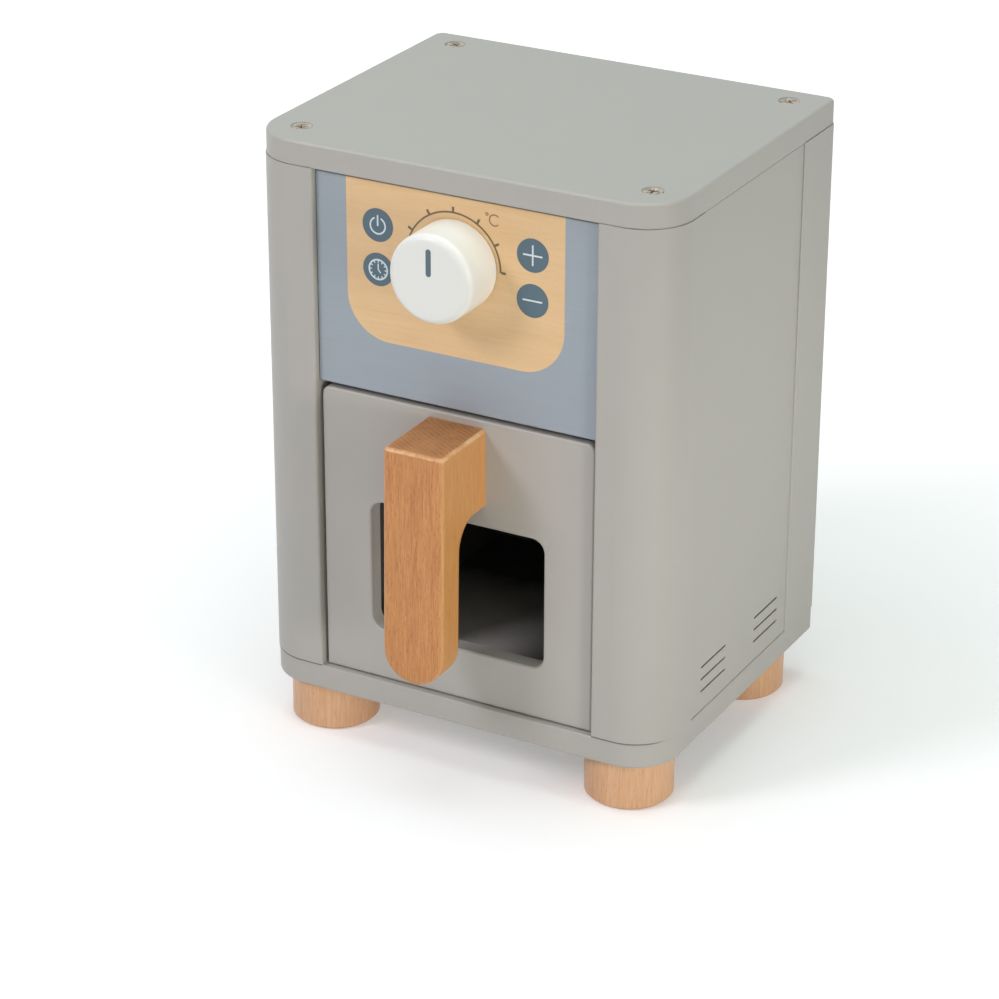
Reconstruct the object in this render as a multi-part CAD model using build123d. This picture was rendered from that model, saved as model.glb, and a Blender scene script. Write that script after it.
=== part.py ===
from build123d import *
import os

# Toy air fryer: a painted wooden casing on turned feet, a pull-out drawer with a window and a beech handle,
# and a knob that turns on an axle in the control panel.
# Millimetres, +Z up. The drawer faces -Y. The origin is on the floor under the middle of the whole toy.

# Casing: top and bottom panels
CASE_W = 163.0
CASE_D = 134.0
CASE_H = 230.0
TOP_T = 9.0
BASE_T = 9.7
FRONT_CORNER_R = 17.8
REAR_CORNER_R = 3.5
PANEL_EDGE_R = 1.2
PANEL_SEAM_R = 0.4

# Corner posts, which stand a hair proud of the panels' outline; their width is taken from the panels' side
POST_W = 26.2
FRONT_POST_D = 26.8
REAR_POST_D = 26.8
POST_PROUD = 0.3
POST_EDGE_R = 0.9

# Side panels with their vent slots
SIDE_T = 9.0
SIDE_INSET = 0.4
SIDE_CHAMFER = 0.4
VENT_L = 20.5
VENT_W = 0.9
VENT_DEPTH = 1.6
VENT_COUNT = 3
VENT_PITCH = 4.85
VENT_RISE = 8.0
VENT_GROUP_SPACING = 44.5
VENT_REAR_SHIFT = 0.6

# Back panel in the rear posts' rebates
BACK_T = 6.0
BACK_REBATE = 8.0
BACK_CHAMFER = 0.4
BACK_SCREW_END_GAP = 26.0
BACK_SCREW_ROWS = 2

# Control panel between the front posts
CONTROL_T = 9.0
CONTROL_H = 79.3
CONTROL_RECESS = 2.2
CONTROL_CHAMFER = 0.4

# Feet
FOOT_R = 16.2
FOOT_H = 19.2
FOOT_CHAMFER = 1.2
FOOT_SIDE_INSET = 20.1
FOOT_FRONT_INSET = 19.2
FOOT_REAR_INSET = 21.0
FOOT_BORE_R = 5.0
FOOT_BORE_DEPTH = 8.0

# Knob and what holds it
KNOB_R = 16.1
KNOB_L = 18.0
KNOB_EDGE_R = 2.9
KNOB_GAP = 0.3
KNOB_DROP = 25.3
AXLE_R = 4.0
AXLE_IN_KNOB = 11.0
AXLE_RUNNING_GAP = 0.06
FELT_T = 1.5
FELT_R = 9.0
COLLAR_T = 4.0
COLLAR_R = 10.0

# Drawer
DRAWER_SIDE_GAP = 1.0
DRAWER_TOP_GAP = 1.8
DRAWER_UNDER_GAP = 0.3
DRAWER_REAR_GAP = 0.3
DRAWER_RECESS = 2.2
DRAWER_FRONT_T = 6.5
DRAWER_WALL_T = 6.0
DRAWER_FLOOR_T = 4.0
DRAWER_WALL_H = 60.0
DRAWER_FRONT_TOP_R = 3.3
DRAWER_FRONT_EDGE_R = 0.9
DRAWER_WALL_EDGE_R = 1.0

# Window, as the widths of the drawer front's frame round it
WINDOW_SIDE_GAP = 19.3
WINDOW_TOP_GAP = 40.7
WINDOW_UNDER_GAP = 19.7
WINDOW_R = 5.0
WINDOW_CHAMFER = 0.5

# Handle, between its distances from the drawer front's top and bottom; it leans back, so it reaches
# furthest at its foot
HANDLE_W = 23.8
HANDLE_TOP_DROP = 2.9
HANDLE_RISE = 19.6
HANDLE_REACH = 32.0
HANDLE_LEAN = 1.8
HANDLE_BLOCK_H = 30.2
HANDLE_EDGE_R = 2.0
GRIP_T = 13.5
FINGER_R = 10.0

# Screws: a countersunk wood screw for the boards, a smaller one for the back and the handle
SCREW_HEAD_R = 3.8
SCREW_SHANK_R = 2.0
SCREW_L = 36.0
SCREW_SINK = 0.2
FOOT_SCREW_L = 40.0
SMALL_HEAD_R = 3.0
SMALL_SHANK_R = 1.4
BACK_SCREW_L = 20.0
HANDLE_SCREW_L = 22.0
HANDLE_SCREW_SPACING = 13.0
TOP_SCREW_SIDE_INSET = 13.5
TOP_SCREW_FRONT_INSET = 14.6
TOP_SCREW_REAR_INSET = 11.6
COLLAR_SCREW_HEAD_R = 3.2
COLLAR_SCREW_HEAD_T = 1.8
COLLAR_SCREW_L = 12.0

# Tongues on the boards' ends, each glued into a groove in the board or post that it meets
TONGUE_T = 3.0
TONGUE_L = 5.0
DRAWER_TONGUE_T = 2.4
DRAWER_TONGUE_L = 3.0

# Named clearances: round a screw's shank or a tongue, under a screw's head, and round a sunk head
GLUE_GAP = 0.05
HEAD_GAP = 0.15
SEAT_GAP = 0.02

# Levels and faces worked out from the sizes above
HANDLE_PROUD = HANDLE_REACH - DRAWER_RECESS
FRONT_Y = (HANDLE_PROUD - CASE_D - POST_PROUD) / 2
REAR_Y = FRONT_Y + CASE_D
SIDE_X = CASE_W / 2
TOP_UNDER_Z = CASE_H - TOP_T
BASE_TOP_Z = FOOT_H + BASE_T
OPENING_X = SIDE_X - POST_W
POST_X = SIDE_X + POST_PROUD
FRONT_POST_Y = FRONT_Y - POST_PROUD
REAR_POST_Y = REAR_Y + POST_PROUD
FRONT_SEAM_Y = FRONT_POST_Y + FRONT_POST_D
REAR_SEAM_Y = REAR_POST_Y - REAR_POST_D
BACK_INNER_Y = REAR_POST_Y - BACK_T
CONTROL_Y = FRONT_Y + CONTROL_RECESS
CONTROL_REAR_Y = CONTROL_Y + CONTROL_T
CONTROL_UNDER_Z = TOP_UNDER_Z - CONTROL_H
KNOB_Z = TOP_UNDER_Z - KNOB_DROP
DRAWER_Y = FRONT_Y + DRAWER_RECESS
DRAWER_WALL_Y = DRAWER_Y + DRAWER_FRONT_T
DRAWER_REAR_Y = BACK_INNER_Y - DRAWER_REAR_GAP
DRAWER_BACK_Y = DRAWER_REAR_Y - DRAWER_WALL_T
DRAWER_X = OPENING_X - DRAWER_SIDE_GAP
DRAWER_UNDER_Z = BASE_TOP_Z + DRAWER_UNDER_GAP
DRAWER_TOP_Z = CONTROL_UNDER_Z - DRAWER_TOP_GAP
DRAWER_FLOOR_Z = DRAWER_UNDER_Z + DRAWER_FLOOR_T
DRAWER_WALL_TOP_Z = DRAWER_FLOOR_Z + DRAWER_WALL_H
WINDOW_TOP_Z = DRAWER_TOP_Z - WINDOW_TOP_GAP
WINDOW_UNDER_Z = DRAWER_UNDER_Z + WINDOW_UNDER_GAP
HANDLE_TOP_Z = DRAWER_TOP_Z - HANDLE_TOP_DROP
HANDLE_UNDER_Z = DRAWER_UNDER_Z + HANDLE_RISE
HANDLE_BLOCK_Z = HANDLE_TOP_Z - HANDLE_BLOCK_H / 2

# Turns that bring a turned piece from the Z axis to where it goes
HEAD_UP = Rot(0, 0, 0)
HEAD_DOWN = Rot(180, 0, 0)
HEAD_REAR = Rot(-90, 0, 0)
ALONG_Y = Rot(90, 0, 0)


def slab(x0, x1, y0, y1, z0, z1):
    """A square-edged board between six faces."""
    return Pos((x0 + x1) / 2, (y0 + y1) / 2, (z0 + z1) / 2) * Box(x1 - x0, y1 - y0, z1 - z0)


def lathe(points):
    """A solid turned about the Z axis from (radius, height) points."""
    return revolve(Plane.XZ * make_face(Polyline(*points, close=True)), Axis.Z)


def mirrored(shape):
    """The same piece on the other side of the toy."""
    return mirror(shape, about=Plane.YZ)


def countersunk_screw(head_r, shank_r, length):
    """A countersunk screw along Z, its head's face at Z = 0 and its end below."""
    return lathe([
        (0, 0),
        (head_r, 0),
        (shank_r, shank_r - head_r),
        (shank_r, -length),
        (0, -length),
    ])


def countersunk_hole(head_r, shank_r, length, sink):
    """The hole that a countersunk screw goes in, with the head sunk this far below the face."""
    wide = head_r + HEAD_GAP
    seat_r = head_r + SEAT_GAP
    bore_r = shank_r + GLUE_GAP
    mouth_z = sink + PANEL_EDGE_R
    return lathe([
        (0, mouth_z),
        (wide, mouth_z),
        (wide, 0),
        (seat_r, 0),
        (bore_r, bore_r - seat_r),
        (bore_r, -length - GLUE_GAP),
        (0, -length - GLUE_GAP),
    ])


# Places of what repeats


def corner_points(side_inset, front_inset, rear_inset):
    """The four corner places, at these distances inside the panels' sides, front and rear."""
    x = SIDE_X - side_inset
    return [(sx * x, y) for sx in (-1, 1) for y in (FRONT_Y + front_inset, REAR_Y - rear_inset)]


def spread(low, high, count):
    """Evenly spaced heights from low to high."""
    return [low + (high - low) * i / (count - 1) for i in range(count)]


TOP_SCREW_XY = corner_points(TOP_SCREW_SIDE_INSET, TOP_SCREW_FRONT_INSET, TOP_SCREW_REAR_INSET)
FOOT_XY = corner_points(FOOT_SIDE_INSET, FOOT_FRONT_INSET, FOOT_REAR_INSET)
BACK_SCREW_X = OPENING_X + BACK_REBATE / 2
BACK_SCREW_Z = spread(BASE_TOP_Z + BACK_SCREW_END_GAP, TOP_UNDER_Z - BACK_SCREW_END_GAP, BACK_SCREW_ROWS)
HANDLE_SCREW_Z = [HANDLE_BLOCK_Z - HANDLE_SCREW_SPACING / 2, HANDLE_BLOCK_Z + HANDLE_SCREW_SPACING / 2]


def top_screw_places():
    """Where the top panel's screws go."""
    return [Pos(x, y, CASE_H - SCREW_SINK) * HEAD_UP for x, y in TOP_SCREW_XY]


def foot_screw_places():
    """Where the screws go that come up through the feet."""
    return [Pos(x, y, FOOT_BORE_DEPTH) * HEAD_DOWN for x, y in FOOT_XY]


def back_screw_places():
    """Where the back panel's screws go."""
    return [Pos(sx * BACK_SCREW_X, REAR_POST_Y, z) * HEAD_REAR for sx in (-1, 1) for z in BACK_SCREW_Z]


def handle_screw_places():
    """Where the handle's screws go, from inside the drawer's front."""
    return [Pos(0, DRAWER_WALL_Y, z) * HEAD_REAR for z in HANDLE_SCREW_Z]


def cut_all(shape, places, cutter):
    """Cut the same hole at every place."""
    for place in places:
        shape -= place * cutter
    return shape


TOP_SCREW_HOLE = countersunk_hole(SCREW_HEAD_R, SCREW_SHANK_R, SCREW_L, SCREW_SINK)
FOOT_SCREW_HOLE = countersunk_hole(SCREW_HEAD_R, SCREW_SHANK_R, FOOT_SCREW_L, 0)
BACK_SCREW_HOLE = countersunk_hole(SMALL_HEAD_R, SMALL_SHANK_R, BACK_SCREW_L, 0)
HANDLE_SCREW_HOLE = countersunk_hole(SMALL_HEAD_R, SMALL_SHANK_R, HANDLE_SCREW_L, 0)


def side_tongue(gap=0):
    """The right side panel's tongues and what joins them; with a gap, what cuts the posts' grooves."""
    middle_x = SIDE_X - SIDE_INSET - SIDE_T / 2
    half = TONGUE_T / 2 + gap
    front_y = FRONT_SEAM_Y - TONGUE_L - gap
    rear_y = REAR_SEAM_Y + TONGUE_L + gap
    return slab(middle_x - half, middle_x + half, front_y, rear_y, BASE_TOP_Z, TOP_UNDER_Z)


def control_tongue(gap=0):
    """The control panel's tongues and what joins them; with a gap, what cuts the posts' grooves."""
    middle_y = CONTROL_Y + CONTROL_T / 2
    reach = OPENING_X + TONGUE_L + gap
    half = TONGUE_T / 2 + gap
    return slab(-reach, reach, middle_y - half, middle_y + half, CONTROL_UNDER_Z - gap, TOP_UNDER_Z)


def drawer_side_tongue(gap=0):
    """The right drawer side's tongues and what joins them; with a gap, what cuts the grooves."""
    middle_x = DRAWER_X - DRAWER_WALL_T / 2
    half = DRAWER_TONGUE_T / 2 + gap
    front_y = DRAWER_WALL_Y - DRAWER_TONGUE_L - gap
    rear_y = DRAWER_BACK_Y + DRAWER_TONGUE_L + gap
    top_z = DRAWER_WALL_TOP_Z - DRAWER_WALL_EDGE_R + gap
    return slab(middle_x - half, middle_x + half, front_y, rear_y, DRAWER_FLOOR_Z, top_z)


def case_panel(bottom_z, thickness):
    """A top or bottom panel: broad curves at the front corners, tight ones at the back."""
    outline = Pos(0, FRONT_Y + CASE_D / 2) * Rectangle(CASE_W, CASE_D)
    outline = fillet(outline.vertices().group_by(Axis.Y)[0], FRONT_CORNER_R)
    outline = fillet(outline.vertices().group_by(Axis.Y)[-1], REAR_CORNER_R)
    return extrude(Pos(0, 0, bottom_z) * outline, thickness)


def top_panel():
    """The top board, barely rounded at the seam under it, with its four sunk screw holes."""
    panel = case_panel(TOP_UNDER_Z, TOP_T)
    panel = fillet(panel.faces().sort_by(Axis.Z)[-1].edges(), PANEL_EDGE_R)
    panel = fillet(panel.faces().sort_by(Axis.Z)[0].edges(), PANEL_SEAM_R)
    return cut_all(panel, top_screw_places(), TOP_SCREW_HOLE)


def bottom_panel():
    """The bottom board, barely rounded at the seam over it, bored for the screws that come up from the feet."""
    panel = case_panel(FOOT_H, BASE_T)
    panel = fillet(panel.faces().sort_by(Axis.Z)[0].edges(), PANEL_EDGE_R)
    panel = fillet(panel.faces().sort_by(Axis.Z)[-1].edges(), PANEL_SEAM_R)
    return cut_all(panel, foot_screw_places(), FOOT_SCREW_HOLE)


def front_post():
    """The right front post: its outer corner follows the panels."""
    post = slab(OPENING_X, POST_X, FRONT_POST_Y, FRONT_SEAM_Y, BASE_TOP_Z, TOP_UNDER_Z)
    outer_front = post.edges().filter_by(Axis.Z).group_by(Axis.Y)[0].sort_by(Axis.X)[-1]
    post = fillet([outer_front], FRONT_CORNER_R + POST_PROUD)
    inner_front = post.edges().filter_by(Axis.Z).group_by(Axis.X)[0].sort_by(Axis.Y)[0]
    post = fillet([inner_front], POST_EDGE_R)
    post = cut_all(post, top_screw_places(), TOP_SCREW_HOLE)
    post = cut_all(post, foot_screw_places(), FOOT_SCREW_HOLE)
    return post - side_tongue(GLUE_GAP) - control_tongue(GLUE_GAP)


def rear_post():
    """The right rear post, rebated for the back panel."""
    post = slab(OPENING_X, POST_X, REAR_SEAM_Y, REAR_POST_Y, BASE_TOP_Z, TOP_UNDER_Z)
    outer_rear = post.edges().filter_by(Axis.Z).group_by(Axis.Y)[-1].sort_by(Axis.X)[-1]
    post = fillet([outer_rear], REAR_CORNER_R + POST_PROUD)
    outer_front = post.edges().filter_by(Axis.Z).group_by(Axis.Y)[0].sort_by(Axis.X)[-1]
    post = chamfer([outer_front], SIDE_CHAMFER)
    post -= slab(OPENING_X, OPENING_X + BACK_REBATE, BACK_INNER_Y, REAR_POST_Y, BASE_TOP_Z, TOP_UNDER_Z)
    post = cut_all(post, top_screw_places(), TOP_SCREW_HOLE)
    post = cut_all(post, foot_screw_places(), FOOT_SCREW_HOLE)
    post = cut_all(post, back_screw_places(), BACK_SCREW_HOLE)
    return post - side_tongue(GLUE_GAP)


def vent_slots():
    """The right side's shallow vent slots, two groups of them."""
    middle_y = (FRONT_SEAM_Y + REAR_SEAM_Y) / 2 + VENT_REAR_SHIFT
    outer_x = SIDE_X - SIDE_INSET
    face = Plane(origin=(outer_x, 0, 0), x_dir=(0, 1, 0), z_dir=(1, 0, 0))
    slots = []
    for side in (-1, 1):
        y = middle_y + side * VENT_GROUP_SPACING / 2
        for i in range(VENT_COUNT):
            z = BASE_TOP_Z + VENT_RISE + i * VENT_PITCH
            slot = face * Pos(y, z) * SlotOverall(VENT_L, VENT_W)
            slots.append(extrude(slot, -VENT_DEPTH))
    return slots


def side_panel():
    """The right side panel, tongued into the posts."""
    outer_x = SIDE_X - SIDE_INSET
    panel = slab(outer_x - SIDE_T, outer_x, FRONT_SEAM_Y, REAR_SEAM_Y, BASE_TOP_Z, TOP_UNDER_Z)
    panel = chamfer(panel.faces().sort_by(Axis.X)[-1].edges(), SIDE_CHAMFER)
    for slot in vent_slots():
        panel -= slot
    return panel + side_tongue()


def back_panel():
    """The back board, let into the rear posts' rebates."""
    half = OPENING_X + BACK_REBATE
    panel = slab(-half, half, BACK_INNER_Y, REAR_POST_Y, BASE_TOP_Z, TOP_UNDER_Z)
    panel = chamfer(panel.faces().sort_by(Axis.Y)[-1].edges(), BACK_CHAMFER)
    return cut_all(panel, back_screw_places(), BACK_SCREW_HOLE)


def knob_place(y):
    """On the knob's axis, facing the front, at this depth."""
    return Pos(0, y, KNOB_Z) * ALONG_Y


def control_panel():
    """The board that carries the knob, tongued into the front posts and bored for the knob's axle."""
    panel = slab(-OPENING_X, OPENING_X, CONTROL_Y, CONTROL_REAR_Y, CONTROL_UNDER_Z, TOP_UNDER_Z)
    panel = chamfer(panel.faces().sort_by(Axis.Y)[0].edges(), CONTROL_CHAMFER)
    panel += control_tongue()
    bore_y = (CONTROL_Y + CONTROL_REAR_Y) / 2
    return panel - knob_place(bore_y) * Cylinder(AXLE_R + AXLE_RUNNING_GAP, 2 * CONTROL_T)


def foot(x, y):
    """A turned foot, chamfered round its lower edge and bored for its screw's head."""
    body = Pos(x, y, FOOT_H / 2) * Cylinder(FOOT_R, FOOT_H)
    body = chamfer(body.edges().group_by(Axis.Z)[0], FOOT_CHAMFER)
    body -= Pos(x, y, FOOT_BORE_DEPTH / 2) * Cylinder(FOOT_BORE_R, FOOT_BORE_DEPTH)
    return body - Pos(x, y, FOOT_BORE_DEPTH) * HEAD_DOWN * FOOT_SCREW_HOLE


def knob():
    """The turned knob, its front edge well rounded, bored from behind for the axle."""
    rear_y = CONTROL_Y - KNOB_GAP
    body = knob_place(rear_y - KNOB_L / 2) * Cylinder(KNOB_R, KNOB_L)
    body = fillet(body.edges().group_by(Axis.Y)[0], KNOB_EDGE_R)
    bore = knob_place(rear_y - AXLE_IN_KNOB / 2) * Cylinder(AXLE_R + GLUE_GAP, AXLE_IN_KNOB)
    return body - bore


AXLE_FRONT_Y = CONTROL_Y - KNOB_GAP - AXLE_IN_KNOB
FELT_Y = CONTROL_REAR_Y + KNOB_GAP
AXLE_REAR_Y = FELT_Y + FELT_T
COLLAR_REAR_Y = AXLE_REAR_Y + COLLAR_T


def collar_screw_body(gap):
    """The collar screw's shank along Z, its head's underside at Z = 0, larger by this gap."""
    length = COLLAR_SCREW_L + gap
    return Pos(0, 0, -length / 2) * Cylinder(SMALL_SHANK_R + gap, length)


def knob_axle():
    """The dowel that the knob turns on."""
    length = AXLE_REAR_Y - AXLE_FRONT_Y
    axle = knob_place((AXLE_FRONT_Y + AXLE_REAR_Y) / 2) * Cylinder(AXLE_R, length)
    return axle - Pos(0, COLLAR_REAR_Y, KNOB_Z) * HEAD_REAR * collar_screw_body(GLUE_GAP)


def knob_felt_washer():
    """Felt ring between the control panel's rear face and the collar."""
    place = knob_place((FELT_Y + AXLE_REAR_Y) / 2)
    return place * Cylinder(FELT_R, FELT_T) - place * Cylinder(AXLE_R + GLUE_GAP, 2 * FELT_T)


def knob_collar():
    """The disc on the axle's end that keeps the knob from being pulled out."""
    place = knob_place((AXLE_REAR_Y + COLLAR_REAR_Y) / 2)
    disc = place * Cylinder(COLLAR_R, COLLAR_T)
    return disc - Pos(0, COLLAR_REAR_Y, KNOB_Z) * HEAD_REAR * collar_screw_body(GLUE_GAP)


def knob_collar_screw():
    """The flat-headed screw into the axle's end."""
    head = Pos(0, 0, COLLAR_SCREW_HEAD_T / 2) * Cylinder(COLLAR_SCREW_HEAD_R, COLLAR_SCREW_HEAD_T)
    return Pos(0, COLLAR_REAR_Y, KNOB_Z) * HEAD_REAR * (head + collar_screw_body(0))


def drawer_front():
    """The drawer's painted front, with its rounded window."""
    height = DRAWER_TOP_Z - DRAWER_UNDER_Z
    plane = Plane(origin=(0, DRAWER_Y, 0), x_dir=(1, 0, 0), z_dir=(0, -1, 0))
    outline = Pos(0, DRAWER_UNDER_Z + height / 2) * Rectangle(2 * DRAWER_X, height)
    outline = fillet(outline.vertices().group_by(Axis.Y)[-1], DRAWER_FRONT_TOP_R)
    board = extrude(plane * outline, -DRAWER_FRONT_T)
    board = fillet(board.faces().sort_by(Axis.Y)[0].edges(), DRAWER_FRONT_EDGE_R)
    window_w = 2 * (DRAWER_X - WINDOW_SIDE_GAP)
    window_h = WINDOW_TOP_Z - WINDOW_UNDER_Z
    window = Pos(0, WINDOW_UNDER_Z + window_h / 2) * RectangleRounded(window_w, window_h, WINDOW_R)
    board -= extrude(plane * window, -DRAWER_FRONT_T)
    front_face = board.faces().sort_by(Axis.Y)[0]
    board = chamfer(front_face.inner_wires()[0].edges(), WINDOW_CHAMFER)
    board = cut_all(board, handle_screw_places(), HANDLE_SCREW_HOLE)
    groove = drawer_side_tongue(GLUE_GAP)
    return board - groove - mirrored(groove)


def drawer_side():
    """The drawer's right side, standing on its floor and tongued into its front and back."""
    x0 = DRAWER_X - DRAWER_WALL_T
    side = slab(x0, DRAWER_X, DRAWER_WALL_Y, DRAWER_BACK_Y, DRAWER_FLOOR_Z, DRAWER_WALL_TOP_Z)
    side = fillet(side.edges().filter_by(Axis.Y).group_by(Axis.Z)[-1], DRAWER_WALL_EDGE_R)
    return side + drawer_side_tongue()


def drawer_back():
    """The drawer's back, behind its sides."""
    back = slab(-DRAWER_X, DRAWER_X, DRAWER_BACK_Y, DRAWER_REAR_Y, DRAWER_FLOOR_Z, DRAWER_WALL_TOP_Z)
    back = fillet(back.edges().filter_by(Axis.X).group_by(Axis.Z)[-1], DRAWER_WALL_EDGE_R)
    groove = drawer_side_tongue(GLUE_GAP)
    return back - groove - mirrored(groove)


def drawer_floor():
    """The drawer's floor, under its sides and back."""
    return slab(-DRAWER_X, DRAWER_X, DRAWER_WALL_Y, DRAWER_REAR_Y, DRAWER_UNDER_Z, DRAWER_FLOOR_Z)


def grip_front_y(z):
    """Where the leaning front face of the handle is at this height."""
    share = (z - HANDLE_UNDER_Z) / (HANDLE_TOP_Z - HANDLE_UNDER_Z)
    return DRAWER_Y - HANDLE_REACH + HANDLE_LEAN * share


def handle():
    """The beech handle: a block on the drawer's front, and a grip that hangs from it with a round end."""
    block_z = HANDLE_TOP_Z - HANDLE_BLOCK_H
    inner_corner = (grip_front_y(block_z) + GRIP_T, block_z)
    outline = make_face(Polyline(
        inner_corner,
        (DRAWER_Y, block_z),
        (DRAWER_Y, HANDLE_TOP_Z),
        (grip_front_y(HANDLE_TOP_Z), HANDLE_TOP_Z),
        (grip_front_y(HANDLE_UNDER_Z), HANDLE_UNDER_Z),
        (grip_front_y(HANDLE_UNDER_Z) + GRIP_T, HANDLE_UNDER_Z),
        close=True,
    ))
    outline = fillet(outline.vertices().sort_by_distance((*inner_corner, 0))[0], FINGER_R)
    side_view = extrude(Plane.YZ * outline, HANDLE_W / 2, both=True)
    end_r = HANDLE_W / 2
    shank_h = HANDLE_TOP_Z - HANDLE_UNDER_Z - end_r
    face = Plane(origin=(0, DRAWER_Y, 0), x_dir=(1, 0, 0), z_dir=(0, -1, 0))
    front_outline = Pos(0, HANDLE_TOP_Z - shank_h / 2) * Rectangle(HANDLE_W, shank_h)
    front_outline += Pos(0, HANDLE_UNDER_Z + end_r) * Circle(end_r)
    body = side_view & extrude(face * front_outline, HANDLE_REACH)
    outer = [e for e in body.edges() if e.center().Y < DRAWER_Y - 0.01]
    body = fillet(outer, HANDLE_EDGE_R)
    return cut_all(body, handle_screw_places(), HANDLE_SCREW_HOLE)


def set_of(shape, places):
    """One node of equal pieces, one at each place."""
    return Compound([place * shape for place in places])


def toy_pieces():
    """Every node's name and its solid or solids."""
    rear_left, rear_right = (FOOT_XY[1], FOOT_XY[3])
    front_left, front_right = (FOOT_XY[0], FOOT_XY[2])
    wood_screw = countersunk_screw(SCREW_HEAD_R, SCREW_SHANK_R, SCREW_L)
    long_screw = countersunk_screw(SCREW_HEAD_R, SCREW_SHANK_R, FOOT_SCREW_L)
    back_screw = countersunk_screw(SMALL_HEAD_R, SMALL_SHANK_R, BACK_SCREW_L)
    handle_screw = countersunk_screw(SMALL_HEAD_R, SMALL_SHANK_R, HANDLE_SCREW_L)
    return {
        "top_panel": top_panel(),
        "bottom_panel": bottom_panel(),
        "front_left_post": mirrored(front_post()),
        "front_right_post": front_post(),
        "rear_left_post": mirrored(rear_post()),
        "rear_right_post": rear_post(),
        "left_side_panel": mirrored(side_panel()),
        "right_side_panel": side_panel(),
        "back_panel": back_panel(),
        "control_panel": control_panel(),
        "foot_front_left": foot(*front_left),
        "foot_front_right": foot(*front_right),
        "foot_rear_left": foot(*rear_left),
        "foot_rear_right": foot(*rear_right),
        "top_screws": set_of(wood_screw, top_screw_places()),
        "foot_screws": set_of(long_screw, foot_screw_places()),
        "back_panel_screws": set_of(back_screw, back_screw_places()),
        "knob": knob(),
        "knob_axle": knob_axle(),
        "knob_felt_washer": knob_felt_washer(),
        "knob_collar": knob_collar(),
        "knob_collar_screw": knob_collar_screw(),
        "drawer_front": drawer_front(),
        "drawer_left_side": mirrored(drawer_side()),
        "drawer_right_side": drawer_side(),
        "drawer_back": drawer_back(),
        "drawer_floor": drawer_floor(),
        "handle": handle(),
        "handle_screws": set_of(handle_screw, handle_screw_places()),
    }


os.makedirs("parts", exist_ok=True)
for name, piece in toy_pieces().items():
    export_step(piece, os.path.join("parts", name + ".step"))
    print(name, len(piece.solids()), "solid(s), volume", round(piece.volume, 1), "mm3")
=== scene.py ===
"""Finishes, printed marks, screws, light, floor and camera of a child's wooden play air fryer."""

import logging
import math
from collections.abc import Iterable, Mapping, Sequence
from dataclasses import dataclass, field
from enum import Enum

import bmesh
import bpy
from mathutils import Matrix, Vector


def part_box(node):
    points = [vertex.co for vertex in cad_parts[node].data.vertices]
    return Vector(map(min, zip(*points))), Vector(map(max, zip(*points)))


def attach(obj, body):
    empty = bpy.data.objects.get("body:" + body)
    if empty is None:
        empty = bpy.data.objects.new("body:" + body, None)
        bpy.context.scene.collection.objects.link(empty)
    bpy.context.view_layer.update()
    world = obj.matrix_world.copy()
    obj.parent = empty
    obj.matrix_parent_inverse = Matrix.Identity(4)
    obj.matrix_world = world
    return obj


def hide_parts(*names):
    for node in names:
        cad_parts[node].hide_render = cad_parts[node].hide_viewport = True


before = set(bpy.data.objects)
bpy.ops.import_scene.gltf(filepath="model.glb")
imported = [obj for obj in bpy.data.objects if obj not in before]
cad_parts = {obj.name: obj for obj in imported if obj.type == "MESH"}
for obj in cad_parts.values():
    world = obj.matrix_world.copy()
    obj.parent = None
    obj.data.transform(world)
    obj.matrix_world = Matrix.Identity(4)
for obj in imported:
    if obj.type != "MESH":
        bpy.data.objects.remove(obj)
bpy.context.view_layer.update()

MM = 0.001
NOISE_MIDDLE = 0.5
LOG = logging.getLogger("play_air_fryer")

Point = tuple[float, float]
Span = tuple[float, float]


@dataclass(frozen=True)
class Colour:
    """A colour as a screen shows it, each part from 0 to 255."""

    red: float
    green: float
    blue: float

    def linear(self) -> tuple[float, float, float, float]:
        """Give the colour as the shader's own linear values."""
        parts = [self._part(v / 255) for v in (self.red, self.green, self.blue)]
        return (parts[0], parts[1], parts[2], 1.0)

    @staticmethod
    def _part(value: float) -> float:
        """Turn one part from screen to linear, by the usual screen curve."""
        return value / 12.92 if value <= 0.04045 else ((value + 0.055) / 1.055) ** 2.4

    def shade(self, share: float) -> "Colour":
        """Give the same colour, lighter or darker on the screen by this share.

        Args:
            share: how light it is against this colour.

        Returns:
            The new colour.
        """
        parts = [min(255.0, v * share) for v in (self.red, self.green, self.blue)]
        return Colour(parts[0], parts[1], parts[2])


@dataclass(frozen=True)
class Wave:
    """Smooth noise: the sizes of its waves in three directions, in millimetres, and its finer detail."""

    across: float
    deep: float
    upright: float
    detail: float = 2.0
    roughness: float = 0.5

    @classmethod
    def even(cls, size: float, detail: float = 2.0, roughness: float = 0.5) -> "Wave":
        """Give noise of one size in every direction."""
        return cls(size, size, size, detail, roughness)

    def sizes(self) -> tuple[float, float, float]:
        """Give the three sizes."""
        return (self.across, self.deep, self.upright)


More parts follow.
